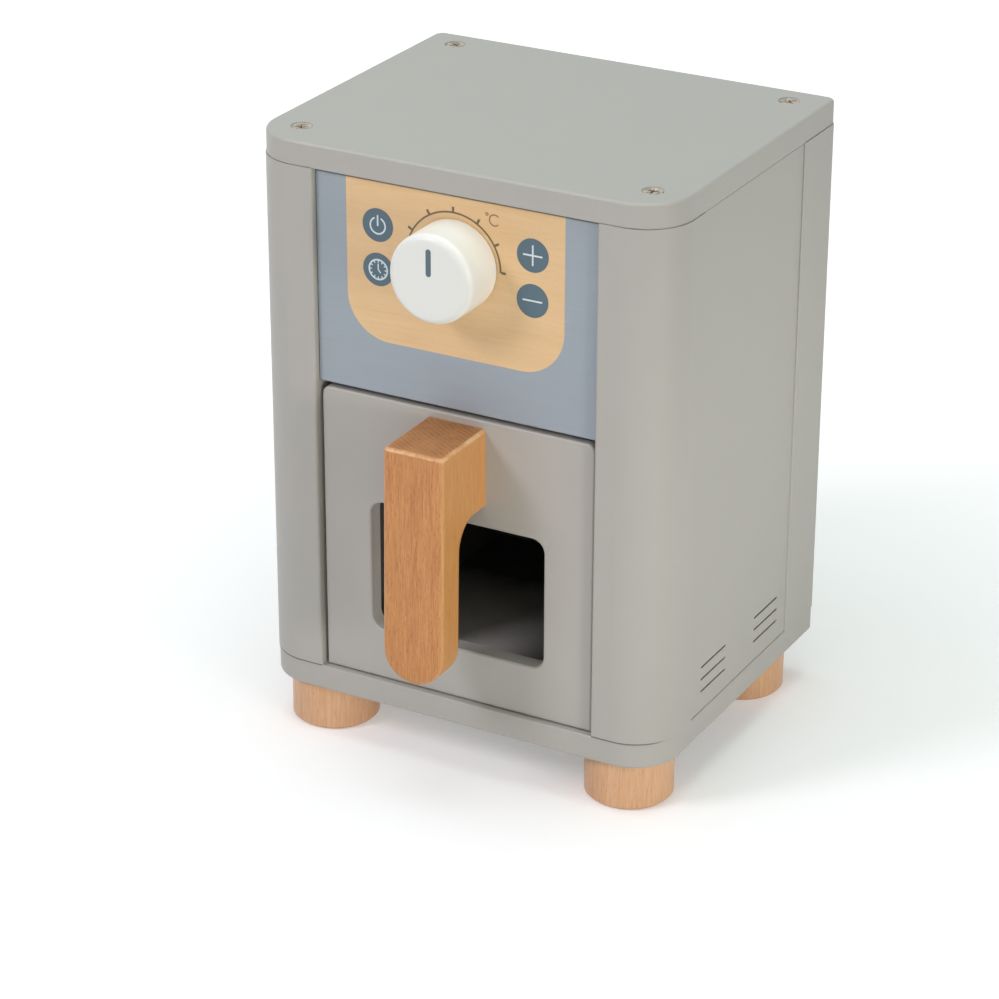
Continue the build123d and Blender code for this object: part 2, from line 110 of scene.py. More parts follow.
class Value:
    """A number that changes over a surface, written with Python's own signs."""

    def __init__(self, graph: "Graph", socket: bpy.types.NodeSocket) -> None:
        """Wrap a socket.

        Args:
            graph: the node graph that new nodes go into.
            socket: the output that carries the number.
        """
        self.graph = graph
        self.socket = socket

    def maths(self, operation: str, *others: "Value | float") -> "Value":
        """Add a Math node.

        Args:
            operation: the Math node's operation.
            others: what follows this value in its sockets.

        Returns:
            The node's result.
        """
        sockets = {i: v for i, v in enumerate((self, *others))}
        node = self.graph.node("ShaderNodeMath", {"operation": operation}, sockets)
        return Value(self.graph, node.outputs[0])

    def __add__(self, other: "Value | float") -> "Value":
        """Add."""
        return self.maths("ADD", other)

    def __radd__(self, other: float) -> "Value":
        """Add to a number."""
        return self.maths("ADD", other)

    def __sub__(self, other: "Value | float") -> "Value":
        """Subtract."""
        return self.maths("SUBTRACT", other)

    def __rsub__(self, other: float) -> "Value":
        """Subtract from a number."""
        return (self * -1.0).maths("ADD", other)

    def __mul__(self, other: "Value | float") -> "Value":
        """Multiply."""
        return self.maths("MULTIPLY", other)

    def __rmul__(self, other: float) -> "Value":
        """Multiply a number."""
        return self.maths("MULTIPLY", other)

    def __truediv__(self, other: "Value | float") -> "Value":
        """Divide."""
        return self.maths("DIVIDE", other)

    def size(self) -> "Value":
        """Drop the sign."""
        return self.maths("ABSOLUTE")

    def fraction(self) -> "Value":
        """Keep what follows the decimal point."""
        return self.maths("FRACT")

    def root(self) -> "Value":
        """Take the square root."""
        return self.maths("SQRT")

    def least(self, other: "Value | float") -> "Value":
        """Take the smaller of two."""
        return self.maths("MINIMUM", other)

    def most(self, other: "Value | float") -> "Value":
        """Take the larger of two."""
        return self.maths("MAXIMUM", other)

    def clamped(self) -> "Value":
        """Keep it from 0 to 1."""
        return self.most(0.0).least(1.0)

    def swing(self, width: float) -> "Value":
        """Turn noise from 0 to 1 into a swing of this width about 0."""
        return (self - NOISE_MIDDLE) * width

    def rise(self, low: float, high: float) -> "Value":
        """Go smoothly from 0 to 1.

        Args:
            low: where it is still 0.
            high: where it reaches 1; under low, it falls instead.

        Returns:
            The smooth step.
        """
        if high < low:
            return 1.0 - self.rise(high, low)
        settings = {"interpolation_type": "SMOOTHSTEP"}
        sockets = {"Value": self, "From Min": low, "From Max": high, "To Min": 0.0, "To Max": 1.0}
        return Value(self.graph, self.graph.node("ShaderNodeMapRange", settings, sockets).outputs[0])


Place = tuple[Value, Value, Value]


class Graph:
    """A node tree under way, with one way in for every node."""

    def __init__(self, tree: bpy.types.NodeTree) -> None:
        """Start with an empty tree."""
        self.tree = tree
        tree.nodes.clear()

    def node(
        self,
        kind: str,
        settings: Mapping[str, object] | None = None,
        sockets: Mapping[str | int, object] | None = None,
    ) -> bpy.types.Node:
        """Add a node.

        Args:
            kind: the node's type.
            settings: its own settings, which are set first.
            sockets: numbers, colours or links for its inputs, by name or place.

        Returns:
            The node.
        """
        node = self.tree.nodes.new(kind)
        for name, setting in (settings or {}).items():
            setattr(node, name, setting)
        for name, value in (sockets or {}).items():
            source = getattr(value, "socket", value)
            if isinstance(source, bpy.types.NodeSocket):
                self.tree.links.new(source, node.inputs[name])
            else:
                node.inputs[name].default_value = source.linear() if isinstance(source, Colour) else source
        return node

    def place(self) -> Place:
        """Give the point on the surface in the toy's own millimetres.

        Returns:
            The point's three parts.
        """
        where = self.node("ShaderNodeTexCoord").outputs["Object"]
        parts = self.node("ShaderNodeSeparateXYZ", None, {0: where}).outputs
        return tuple(Value(self, part) * (1 / MM) for part in parts)

    def facing(self) -> Place:
        """Give the way that the surface faces, in the piece's own directions.

        Returns:
            The three parts of the surface's direction.
        """
        normal = self.node("ShaderNodeTexCoord").outputs["Normal"]
        parts = self.node("ShaderNodeSeparateXYZ", None, {0: normal}).outputs
        return tuple(Value(self, part) for part in parts)

    def units(self, place: Place, sizes: Sequence[float]) -> bpy.types.NodeSocket:
        """Measure a point in a unit of its own in each direction.

        Args:
            place: the point's three parts, in millimetres.
            sizes: the three units, in millimetres.

        Returns:
            The point as one vector.
        """
        x, y, z = (part / size for part, size in zip(place, sizes))
        return self.node("ShaderNodeCombineXYZ", None, {0: x, 1: y, 2: z}).outputs[0]

    def noise(self, place: Place, wave: Wave) -> Value:
        """Give smooth noise from 0 to 1.

        Args:
            place: the point's three parts, in millimetres.
            wave: the noise's sizes and detail.

        Returns:
            The noise there.
        """
        vector = self.units(place, wave.sizes())
        sockets = {"Vector": vector, "Scale": 1.0, "Detail": wave.detail, "Roughness": wave.roughness}
        return Value(self, self.node("ShaderNodeTexNoise", {"noise_dimensions": "3D"}, sockets).outputs[0])

    def cells(self, place: Place, sizes: Sequence[float]) -> tuple[Value, Value]:
        """Scatter centres, about one to each unit.

        Args:
            place: the point's three parts, in millimetres.
            sizes: the unit's size in each direction, in millimetres.

        Returns:
            The distance from the nearest centre, in units, and a number of that centre's own from 0 to 1.
        """
        sockets = {"Vector": self.units(place, sizes), "Scale": 1.0}
        node = self.node("ShaderNodeTexVoronoi", {"feature": "F1"}, sockets)
        chance = self.node("ShaderNodeSeparateColor", None, {0: node.outputs["Color"]}).outputs[0]
        return Value(self, node.outputs["Distance"]), Value(self, chance)

    def mix(
        self,
        share: Value | float,
        first: Colour | bpy.types.NodeSocket,
        second: Colour | bpy.types.NodeSocket,
    ) -> bpy.types.NodeSocket:
        """Mix two colours.

        Args:
            share: how much of the second.
            first: a colour or its socket.
            second: a colour or its socket.

        Returns:
            The mixed colour.
        """
        sockets = {0: share, 6: first, 7: second}
        return self.node("ShaderNodeMix", {"data_type": "RGBA"}, sockets).outputs[2]


@dataclass
class Surface:
    """What a finish gives the shader. Relief is a height in millimetres."""

    colour: Colour | bpy.types.NodeSocket
    roughness: Value | float
    metallic: float = 0.0
    relief: Value | None = None
    coat: float = 0.0
    coat_roughness: float = 0.2
    sheen: float = 0.0


@dataclass(frozen=True)
class Finish:
    """A finish with its name and the record's slot that it belongs to."""

    name: str
    slot: str

    def surface(self, graph: Graph) -> Surface:
        """Say how colour, gloss and relief vary over the piece."""
        raise NotImplementedError

    def material(self) -> bpy.types.Material:
        """Give the finish's material, made at its first use.

        Returns:
            The material.
        """
        if self.name in bpy.data.materials:
            return bpy.data.materials[self.name]
        material = bpy.data.materials.new(self.name)
        material.use_nodes = True
        graph = Graph(material.node_tree)
        look = self.surface(graph)
        sockets = {
            "Base Color": look.colour,
            "Roughness": look.roughness,
            "Metallic": look.metallic,
            "Coat Weight": look.coat,
            "Coat Roughness": look.coat_roughness,
            "Sheen Weight": look.sheen,
        }
        if look.relief is not None:
            bump = {"Strength": 1.0, "Distance": MM, "Height": look.relief}
            sockets["Normal"] = graph.node("ShaderNodeBump", None, bump).outputs[0]
        shader = graph.node("ShaderNodeBsdfPrincipled", None, sockets)
        graph.node("ShaderNodeOutputMaterial", None, {"Surface": shader.outputs[0]})
        return material


@dataclass(frozen=True)
class Paint(Finish):
    """Sprayed satin paint: slightly uneven in colour and gloss, with a fine orange-peel surface."""

    colour: Colour
    roughness: float = 0.46
    mottle: float = 0.018
    patch: Wave = Wave.even(26.0, 3.0)
    patch_gloss: float = 0.12
    peel: Wave = Wave.even(0.9)
    peel_gloss: float = 0.05
    peel_height: float = 0.006
    speck_mm: float = 9.0
    speck_radius: float = 0.16
    speck_chance: Span = (0.6, 0.62)
    speck_weight: float = 0.35
    speck_shade: float = 0.8

    def surface(self, graph: Graph) -> Surface:
        """Give the paint's look.

        Args:
            graph: the finish's node graph.

        Returns:
            What the shader takes.
        """
        place = graph.place()
        patch = graph.noise(place, self.patch)
        peel = graph.noise(place, self.peel)
        colour = graph.mix(patch, self.colour.shade(1 - self.mottle), self.colour.shade(1 + self.mottle))
        far, chance = graph.cells(place, (self.speck_mm, self.speck_mm, self.speck_mm))
        speck = far.rise(self.speck_radius / self.speck_mm, 0.0) * chance.rise(*self.speck_chance)
        colour = graph.mix(speck * self.speck_weight, colour, self.colour.shade(self.speck_shade))
        gloss = self.roughness + patch.swing(self.patch_gloss) + peel.swing(self.peel_gloss)
        return Surface(self.trim(graph, place, colour), gloss, relief=peel * self.peel_height)

    def trim(self, graph: Graph, place: Place, colour: bpy.types.NodeSocket) -> bpy.types.NodeSocket:
        """Paint light or shade at joints, edges and sides, which plain paint leaves as it is.

        Args:
            graph: the finish's node graph; not used by plain paint.
            place: the point on the surface; not used by plain paint.
            colour: the paint's colour there.

        Returns:
            The colour with any painted light or shade at its joints, edges and sides.
        """
        return colour


@dataclass(frozen=True)
class LitSidePaint(Paint):
    """Paint on a turned piece, painted lighter and warmer round its side than on its face: a painted
    highlight.
    """

    # the round side is painted lighter and warmer than the face: a painted highlight
    lit_side_colour: Colour = Colour(247, 246, 239)
    lit_side_facing: Span = (0.9, 0.4)

    def trim(self, graph: Graph, place: Place, colour: bpy.types.NodeSocket) -> bpy.types.NodeSocket:
        """Paint the round side lighter and warmer: a painted highlight."""
        side = graph.facing()[1].size().rise(*self.lit_side_facing)
        return graph.mix(side, colour, self.lit_side_colour)


@dataclass(frozen=True)
class JointShadowPaint(Paint):
    """Paint on a post that stands on a board, with a painted shadow line along the joint's front."""

    joint_z: float = 0.0
    shadow_line_top: Span = (0.6, 0.4)
    shadow_line_facing: Span = (-0.35, -0.75)
    shadow_line_shade: float = 0.62

    def trim(self, graph: Graph, place: Place, colour: bpy.types.NodeSocket) -> bpy.types.NodeSocket:
        """Paint a shadow on the post's foot along the joint, on its front faces only.

        Args:
            graph: the finish's node graph.
            place: the point on the surface.
            colour: the paint's colour there.

        Returns:
            The colour with the painted shadow line.
        """
        # painted shadow: a dark line just above the joint, on front faces only
        line = place[2].rise(self.joint_z + self.shadow_line_top[0], self.joint_z + self.shadow_line_top[1])
        line = line * graph.facing()[1].rise(*self.shadow_line_facing)
        return graph.mix(line, colour, self.colour.shade(self.shadow_line_shade))


@dataclass(frozen=True)
class EdgeHighlightPaint(Paint):
    """Paint lightened on a board's chamfers or a post's step, most of all low down: a painted highlight on
    faces turned from the light.
    """

    chamfer_highlight: float = 0.0
    chamfer_facing: Span = (0.95, 0.8)
    step_highlight: float = 0.0
    step_facing: Span = (-0.7, -0.9)
    highlight_height: Span = (200.0, 80.0)
    highlight_shade: float = 1.3

    def trim(self, graph: Graph, place: Place, colour: bpy.types.NodeSocket) -> bpy.types.NodeSocket:
        """Paint a highlight on the chamfers and the step.

        Args:
            graph: the finish's node graph.
            place: the point on the surface.
            colour: the paint's colour there.

        Returns:
            The colour with its painted highlights.
        """
        facing_x, facing_y, facing_z = graph.facing()
        flat = facing_x.size().most(facing_y.size()).most(facing_z.size())
        chamfer = flat.rise(*self.chamfer_facing) * self.chamfer_highlight
        step = facing_y.rise(*self.step_facing) * self.step_highlight
        # painted highlight: chamfers and the forward step are lightened, fully below 80 mm and not at all
        # above 200 mm
        filled = chamfer.most(step) * place[2].rise(*self.highlight_height)
        return graph.mix(filled, colour, self.colour.shade(self.highlight_shade))


@dataclass(frozen=True)
class WindowLightFloor(Finish):
    """Drawer floor in dark paint, a painted shade for the unlit inside, under a painted pool of light from
    the window that fades towards the back and to the right.
    """

    # the first colour is dark paint for the unlit inside, a painted shade; the second is the painted pool of
    # window light
    board: Colour
    window_light: Colour
    start_y: float
    fade_mm: float = 84.0
    fade_side: Span = (20.0, -16.0)
    cloud: Wave = Wave.even(16.0, 3.0)
    cloud_mm: float = 14.0
    grit: Wave = Wave.even(0.5, 2.0, 0.7)
    grit_tone: float = 0.3
    grit_gloss: float = 0.14
    grit_height: float = 0.02
    brightest: float = 0.97
    roughness: float = 0.72

    def surface(self, graph: Graph) -> Surface:
        """Give the board's look.

        Args:
            graph: the finish's node graph.

        Returns:
            What the shader takes.
        """
        place = graph.place()
        x, y, _ = place
        grit = graph.noise(place, self.grit)
        # painted light: the pool of window light is brightest at the floor's front edge and fades with depth
        # and towards the right
        far = y - self.start_y + graph.noise(place, self.cloud).swing(self.cloud_mm)
        window_light = far.rise(self.fade_mm, 0.0).root() * x.rise(*self.fade_side)
        window_light = window_light * (self.brightest + grit.swing(self.grit_tone))
        colour = graph.mix(window_light.clamped(), self.board, self.window_light)
        return Surface(colour, self.roughness + grit.swing(self.grit_gloss), relief=grit * self.grit_height)


class Grain(Enum):
    """Which way a wooden piece's fibres run."""

    ACROSS = "x"
    DEEP = "y"
    UPRIGHT = "z"


@dataclass(frozen=True)
class Timber(Finish):
    """Lacquered hardwood, with growth rings, fibres, short dark flecks and darker end grain. Its side faces
    may be painted lighter, a painted highlight, and its upper bevel paler, partly sanded wear and partly a
    painted highlight.

    The sizes of its waves run across the fibres, across them again and along them.
    """

    light: Colour
    dark: Colour
    fleck: Colour
    grain: Grain = Grain.UPRIGHT
    tone: float = 0.45
    wander: Wave = Wave(34.0, 34.0, 95.0)
    wander_mm: float = 9.0
    ring_mm: float = 1.9
    ring_turn: float = 62.0
    ring_tone: float = 0.1
    ring_start: Span = (0.35, 0.86)
    ring_end: Span = (1.0, 0.93)
    ring_gaps: Wave = Wave(3.0, 3.0, 30.0)
    ring_gap: Span = (0.3, 0.7)
    fibre: Wave = Wave(0.55, 0.55, 12.0, 3.0, 0.6)
    fibre_tone: float = 2.3
    fibre_gloss: float = 0.14
    fibre_height: float = 0.01
    broad: Wave = Wave(5.5, 5.5, 60.0)
    broad_tone: float = 0.6
    fleck_mm: float = 0.62
    fleck_long: float = 4.2
    fleck_edge: Span = (0.36, 0.14)
    fleck_share: float = 0.9
    fleck_spread: float = 0.1
    fleck_weight: float = 0.45
    fleck_gloss: float = 0.12
    fleck_depth: float = 0.02
    small_fleck: float = 0.64
    small_weight: float = 0.7
    # the side faces' lighter colour is a painted highlight; their fewer flecks are the wood's own figure
    lit_flank: Colour | None = None
    flank_light_share: float = 0.0
    flank_facing: Span = (0.5, 0.85)
    flank_clear: float = 0.6
    end_facing: Span = (0.75, 0.97)
    end_shade: float = 0.9
    end_tone: float = 0.1
    end_ring_tone: float = 0.45
    end_broad_tone: float = 0.7
    end_gloss: float = 0.1
    pore: Wave = Wave(0.35, 0.35, 0.8, 1.0)
    pore_edge: Span = (0.55, 0.75)
    pore_tone: float = 0.25
    # share of the pale upper bevel, partly sanded wear and partly a painted highlight
    worn: float = 0.0
    sanded_lit_colour: Colour = Colour(236, 196, 150)
    sanded_lit_patch: Wave = Wave.even(7.0)
    sanded_lit_edge: Span = (0.36, 0.62)
    sanded_lit_least: float = 0.15
    bevel_rise: Span = (0.25, 0.5)
    bevel_fall: Span = (0.97, 0.85)
    roughness: float = 0.42
    coat: float = 0.12
    coat_roughness: float = 0.28

    def surface(self, graph: Graph) -> Surface:
        """Give the wood's look.

        Args:
            graph: the finish's node graph.

        Returns:
            What the shader takes.
        """
        x, y, z = graph.place()
        facing_x, facing_y, facing_z = graph.facing()
        turned = {
            Grain.ACROSS: ((y, z, x), facing_x),
            Grain.DEEP: ((x, z, y), facing_y),
            Grain.UPRIGHT: ((x, y, z), facing_z),
        }
        place, facing_end = turned[self.grain]
        end = facing_end.size().rise(*self.end_facing)
        ring = self._rings(graph, place)
        fibre = graph.noise(place, self.fibre)
        broad = graph.noise(place, self.broad)
        tone = ring * self.ring_tone + fibre.swing(self.fibre_tone) + broad.swing(self.broad_tone) + self.tone
        colour = graph.mix(tone.clamped(), self.light, self.dark)
        fleck = self._flecks(graph, place, 1.0)
        fleck = fleck.most(self._flecks(graph, place, self.small_fleck) * self.small_weight)
        # painted highlight: side faces painted lighter and yellower; they also get fewer flecks
        if self.lit_flank is not None:
            lit_flank = facing_x.size().rise(*self.flank_facing)
            fleck = fleck * (1.0 - lit_flank * self.flank_clear)
            colour = graph.mix(lit_flank * self.flank_light_share, colour, self.lit_flank)
        fleck = fleck * (1.0 - end)
        colour = graph.mix(fleck * self.fleck_weight, colour, self.fleck)
        pore = graph.noise(place, self.pore).rise(*self.pore_edge)
        end_tone = ring * self.end_ring_tone + pore * self.pore_tone
        end_tone = end_tone + broad.swing(self.end_broad_tone) + self.end_tone
        end_light, end_dark = self.light.shade(self.end_shade), self.fleck.shade(self.end_shade)
        colour = graph.mix(end, colour, graph.mix(end_tone.clamped(), end_light, end_dark))
        # pale upper bevel: partly sanded wear, partly a painted highlight
        colour = graph.mix(self._sanded_lit_bevel(graph, place, facing_end), colour, self.sanded_lit_colour)
        gloss = self.roughness + fleck * self.fleck_gloss
        gloss = gloss + fibre.swing(self.fibre_gloss) + end * self.end_gloss
        relief = fibre * self.fibre_height - fleck * self.fleck_depth
        return Surface(colour, gloss, relief=relief, coat=self.coat, coat_roughness=self.coat_roughness)

    def _rings(self, graph: Graph, place: Place) -> Value:
        """Give the growth rings' dark late wood, with gaps.

        Args:
            graph: the finish's node graph.
            place: the point, its last part along the fibres.

        Returns:
            How much late wood lies there.
        """
        turn = math.radians(self.ring_turn)
        wander = graph.noise(place, self.wander).swing(self.wander_mm)
        ring = ((place[0] * math.cos(turn) + place[1] * math.sin(turn) + wander) / self.ring_mm).fraction()
        late = ring.rise(*self.ring_start) * ring.rise(*self.ring_end)
        return late * graph.noise(place, self.ring_gaps).rise(*self.ring_gap)

    def _flecks(self, graph: Graph, place: Place, size: float) -> Value:
        """Give one layer of short flecks.

        Args:
            graph: the finish's node graph.
            place: the point, its last part along the fibres.
            size: the layer's size against the finish's own.

        Returns:
            How much of a fleck lies there.
        """
        narrow = self.fleck_mm * size
        far, chance = graph.cells(place, (narrow, narrow, self.fleck_long * size))
        bare = 1 - self.fleck_share
        return far.rise(*self.fleck_edge) * chance.rise(bare, bare + self.fleck_spread)

    def _sanded_lit_bevel(self, graph: Graph, place: Place, facing_end: Value) -> Value:
        """Give the patchy pale bevel of the upper end, partly sanded wear and partly a painted highlight.

        Args:
            graph: the finish's node graph.
            place: the point, its last part along the fibres.
            facing_end: how far the surface faces along the fibres.

        Returns:
            How much of the pale bevel shows there.
        """
        patchy = graph.noise(place, self.sanded_lit_patch).rise(*self.sanded_lit_edge)
        bevel = facing_end.rise(*self.bevel_rise) * facing_end.rise(*self.bevel_fall)
        return bevel * (self.sanded_lit_least + patchy * (1 - self.sanded_lit_least)) * self.worn


@dataclass(frozen=True)
class StainedPanel(Finish):
    """The control board: thin slate stain over its grain, round a field of clear-coated wood.

    The field has two round lower corners and runs up to the board's top edge.
    """

    stain: Colour
    wood_light: Colour
    wood_dark: Colour
    field_middle: float
    field_half_width: float
    field_bottom: float
    field_corner: float
    # half_width and top place the painted seam shadow
    half_width: float
    top: float
    wander: Wave = Wave(60.0, 30.0, 16.0)
    line: Wave = Wave(26.0, 0.6, 0.62, 3.0, 0.62)
    line_wander: float = 7.0
    line_tone: float = 0.8
    line_gloss: float = 0.12
    line_height: float = 0.012
    broad: Wave = Wave(30.0, 6.0, 5.0)
    broad_wander: float = 5.0
    broad_tone: float = 0.9
    dash: Wave = Wave(2.6, 0.4, 0.3, 1.0)
    dash_edge: Span = (0.6, 0.74)
    dash_weight: float = 0.2
    dash_shade: float = 0.88
    stain_tone: float = 0.9
    stain_shades: Span = (1.025, 0.965)
    stain_height: float = 0.015
    bare_edge: float = 0.12
    bare_facing: Span = (-0.6, -0.9)
    bare_gloss: float = 0.04
    # the painted seam shadow: its width, strength and darkness
    seam_shadow_edge: Span = (0.45, 0.1)
    seam_shadow_weight: float = 0.8
    seam_shadow_shade: float = 0.35
    roughness: float = 0.4
    coat: float = 0.1
    coat_roughness: float = 0.3

    def surface(self, graph: Graph) -> Surface:
        """Give the board's look.

        Args:
            graph: the finish's node graph.

        Returns:
            What the shader takes.
        """
        place = graph.place()
        x, y, z = place
        wander = graph.noise(place, self.wander) - NOISE_MIDDLE
        line = graph.noise((x, y, z + wander * self.line_wander), self.line)
        broad = graph.noise((x, y, z + wander * self.broad_wander), self.broad)
        dash = graph.noise(place, self.dash).rise(*self.dash_edge)
        tone = line.swing(self.line_tone) + broad.swing(self.broad_tone) + NOISE_MIDDLE
        wood = graph.mix(tone.clamped(), self.wood_light, self.wood_dark)
        wood = graph.mix(dash * self.dash_weight, wood, self.wood_dark.shade(self.dash_shade))
        stain_tone = (line.swing(self.stain_tone) + NOISE_MIDDLE).clamped()
        pale, deep = (self.stain.shade(share) for share in self.stain_shades)
        bare = self._bare(graph, place, line)
        colour = graph.mix(bare, graph.mix(stain_tone, pale, deep), wood)
        # painted shadow: a dark line along the seams with the posts and under the top panel's edge
        colour = graph.mix(self._seam_shadow(place) * self.seam_shadow_weight, colour, self.stain.shade(self.seam_shadow_shade))
        gloss = self.roughness + line.swing(self.line_gloss) - bare * self.bare_gloss
        relief = line * self.line_height + (1.0 - bare) * self.stain_height
        return Surface(colour, gloss, relief=relief, coat=self.coat, coat_roughness=self.coat_roughness)

    def _bare(self, graph: Graph, place: Place, line: Value) -> Value:
        """Give the field of bare wood, its edge a little ragged along the grain.

        Args:
            graph: the finish's node graph.
            place: the point on the surface.
            line: the grain's noise there.

        Returns:
            1 on the field and 0 off it.
        """
        straight = self.field_half_width - self.field_corner
        over_x = ((place[0] - self.field_middle).size() - straight).most(0.0)
        under_z = ((self.field_bottom + self.field_corner) - place[2]).most(0.0)
        reach = (over_x * over_x + under_z * under_z).root() + line.swing(self.bare_edge)
        bare = reach.rise(self.field_corner + self.bare_edge, self.field_corner - self.bare_edge)
        return bare * graph.facing()[1].rise(*self.bare_facing)

    def _seam_shadow(self, place: Place) -> Value:
        """Give the painted shadow along the seams where the board meets the posts and, just under its edge,
        the top panel.

        Args:
            place: the point on the surface.

        Returns:
            1 along the painted shadow and 0 off it.
        """
        first, last = self.seam_shadow_edge
        seam = place[0].size().rise(self.half_width - first, self.half_width - last)
        return seam.most(place[2].rise(self.top - first, self.top - last))


@dataclass(frozen=True)
class Ink(Finish):
    """Screen-printed ink, a little thin where the wood's grain shows through."""

    colour: Colour
    under: Colour
    line: Wave = Wave(6.0, 1.0, 0.45, 3.0)
    thin_edge: Span = (0.5, 0.8)
    thin: float = 0.12
    grit: Wave = Wave.even(0.25, 1.0)
    grit_tone: float = 0.05
    grit_gloss: float = 0.1
    grit_height: float = 0.004
    roughness: float = 0.48

    def surface(self, graph: Graph) -> Surface:
        """Give the ink's look.

        Args:
            graph: the finish's node graph.

        Returns:
            What the shader takes.
        """
        place = graph.place()
        line = graph.noise(place, self.line)
        grit = graph.noise(place, self.grit)
        worn = line.rise(*self.thin_edge) * self.thin + grit * self.grit_tone
        colour = graph.mix(worn, self.colour, self.under)
        return Surface(colour, self.roughness + grit.swing(self.grit_gloss), relief=grit * self.grit_height)


@dataclass(frozen=True)
class Plating(Finish):
    """Zinc-plated steel with a yellow cast, cloudy and finely scratched."""

    bright: Colour
    dull: Colour
    cloud: Wave = Wave.even(1.6, 3.0)
    cloud_edge: Span = (0.35, 0.7)
    cloud_gloss: float = 0.12
    scratch: Wave = Wave(0.12, 0.9, 0.9)
    scratch_gloss: float = 0.16
    scratch_height: float = 0.004
    roughness: float = 0.3

    def surface(self, graph: Graph) -> Surface:
        """Give the plating's look.

        Args:
            graph: the finish's node graph.

        Returns:
            What the shader takes.
        """
        place = graph.place()
        cloud = graph.noise(place, self.cloud)
        scratch = graph.noise(place, self.scratch)
        colour = graph.mix(cloud.rise(*self.cloud_edge), self.bright, self.dull)
        gloss = self.roughness + cloud * self.cloud_gloss + scratch.swing(self.scratch_gloss)
        return Surface(colour, gloss, metallic=1.0, relief=scratch * self.scratch_height)


@dataclass(frozen=True)
class Felt(Finish):
    """Pressed felt, with matted fibres."""

    colour: Colour
    mat: Wave = Wave.even(0.35, 4.0, 0.7)
    shades: Span = (0.75, 1.3)
    height: float = 0.12
    roughness: float = 0.95
    sheen: float = 0.4

    def surface(self, graph: Graph) -> Surface:
        """Give the felt's look.

        Args:
            graph: the finish's node graph.

        Returns:
            What the shader takes.
        """
        mat = graph.noise(graph.place(), self.mat)
        dark, light = (self.colour.shade(share) for share in self.shades)
        colour = graph.mix(mat, dark, light)
        return Surface(colour, self.roughness, relief=mat * self.height, sheen=self.sheen)


GREY = Colour(174, 172, 166)
SLATE = Colour(80, 102, 114)
BARE_WOOD = Colour(226, 190, 142)
GREY_PAINT = Paint("satin_grey_paint", "grey_paint", GREY)
# side panels and rear posts: painted highlights on their chamfers and forward step
SIDE_PAINT = EdgeHighlightPaint("side_grey_paint", "grey_paint", GREY, chamfer_highlight=0.75)
REAR_PAINT = EdgeHighlightPaint("rear_grey_paint", "grey_paint", GREY, step_highlight=0.3)
# dark paint inside the drawer: a painted shade for the unlit inside
INNER_SHADE_PAINT = Paint("inner_shade_paint", "grey_paint", Colour(84, 82, 79), roughness=0.6)
# the knob's side is painted lighter and warmer: a painted highlight
WHITE_PAINT = LitSidePaint(
    "satin_white_paint", "white_paint", Colour(231, 232, 227), roughness=0.34, mottle=0.008
)
# the handle's lighter side faces are a painted highlight; its pale upper bevel is partly sanded wear, partly
# a painted highlight
BEECH = Timber(
    "handle_beech", "beech", Colour(207, 145, 86), Colour(176, 113, 57), Colour(148, 80, 30),
    fleck_weight=0.46, lit_flank=Colour(228, 172, 104), flank_light_share=0.4, worn=0.9,
)
FOOT_BEECH = Timber(
    "foot_beech", "beech", Colour(225, 181, 141), Colour(205, 156, 114), Colour(178, 126, 86), fleck_share=0.3
)
DOWEL_WOOD = Timber(
    "plain_dowel", "dowel_wood", Colour(224, 196, 156), Colour(198, 164, 120), Colour(170, 134, 92),
    grain=Grain.DEEP, fleck_share=0.2,
)
MARK_INK = Ink("mark_ink", "slate_paint", SLATE, SLATE.shade(1.25))
SYMBOL_INK = Ink("symbol_ink", "slate_paint", Colour(214, 226, 230), Colour(176, 194, 202))
SCALE_INK = Ink("scale_ink", "slate_paint", Colour(106, 94, 72), BARE_WOOD.shade(0.7))
LETTER_INK = Ink("letter_ink", "slate_paint", Colour(144, 108, 74), BARE_WOOD.shade(0.85))
PLATING = Plating("screw_plating", "screw_steel", Colour(190, 182, 168), Colour(126, 117, 102))
FELT = Felt("pressed_felt", "felt", Colour(64, 64, 66))


def dress(node: str, finish: Finish) -> None:
    """Give a CAD node its finish.

    Args:
        node: the node's name.
        finish: the finish that covers it.
    """
    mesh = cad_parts[node].data
    mesh.materials.clear()
    mesh.materials.append(finish.material())
    LOG.info("%s: %s", node, finish.name)


def add_piece(name: str, mesh: bmesh.types.BMesh, finish: Finish, body: str) -> bpy.types.Object:
    """Make a finished bmesh into a piece that rides on a body.

    Args:
        name: the piece's name.
        mesh: its form, in metres; it is freed here.
        finish: its finish.
        body: the body that it moves with.

    Returns:
        The new object.
    """
    data = bpy.data.meshes.new(name)
    bmesh.ops.recalc_face_normals(mesh, faces=mesh.faces[:])
    mesh.to_mesh(data)
    mesh.free()
    data.materials.append(finish.material())
    piece = bpy.data.objects.new(name, data)
    bpy.context.scene.collection.objects.link(piece)
    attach(piece, body)
    LOG.info("%s: %s, %d faces, rides on %s", name, finish.name, len(data.polygons), body)
    return piece


class Cap(Enum):
    """How a printed stroke ends."""

    ROUND = "round"
    SQUARE = "square"


def polar(centre: Point, radius: float, degrees: float) -> Point:
    """Give the point at this radius and angle, from +X towards +Z."""
    angle = math.radians(degrees)
    return (centre[0] + radius * math.cos(angle), centre[1] + radius * math.sin(angle))


def moved(point: Point, across: float, up: float) -> Point:
    """Give the point that lies this far from another."""
    return (point[0] + across, point[1] + up)


def bow(centre: Point, radius: float, start: float, end: float, step: float = 4.0) -> list[Point]:
    """Give points along an arc, about a step of degrees apart."""
    steps = max(2, round(abs(end - start) / step))
    return [polar(centre, radius, start + (end - start) * i / steps) for i in range(steps + 1)]


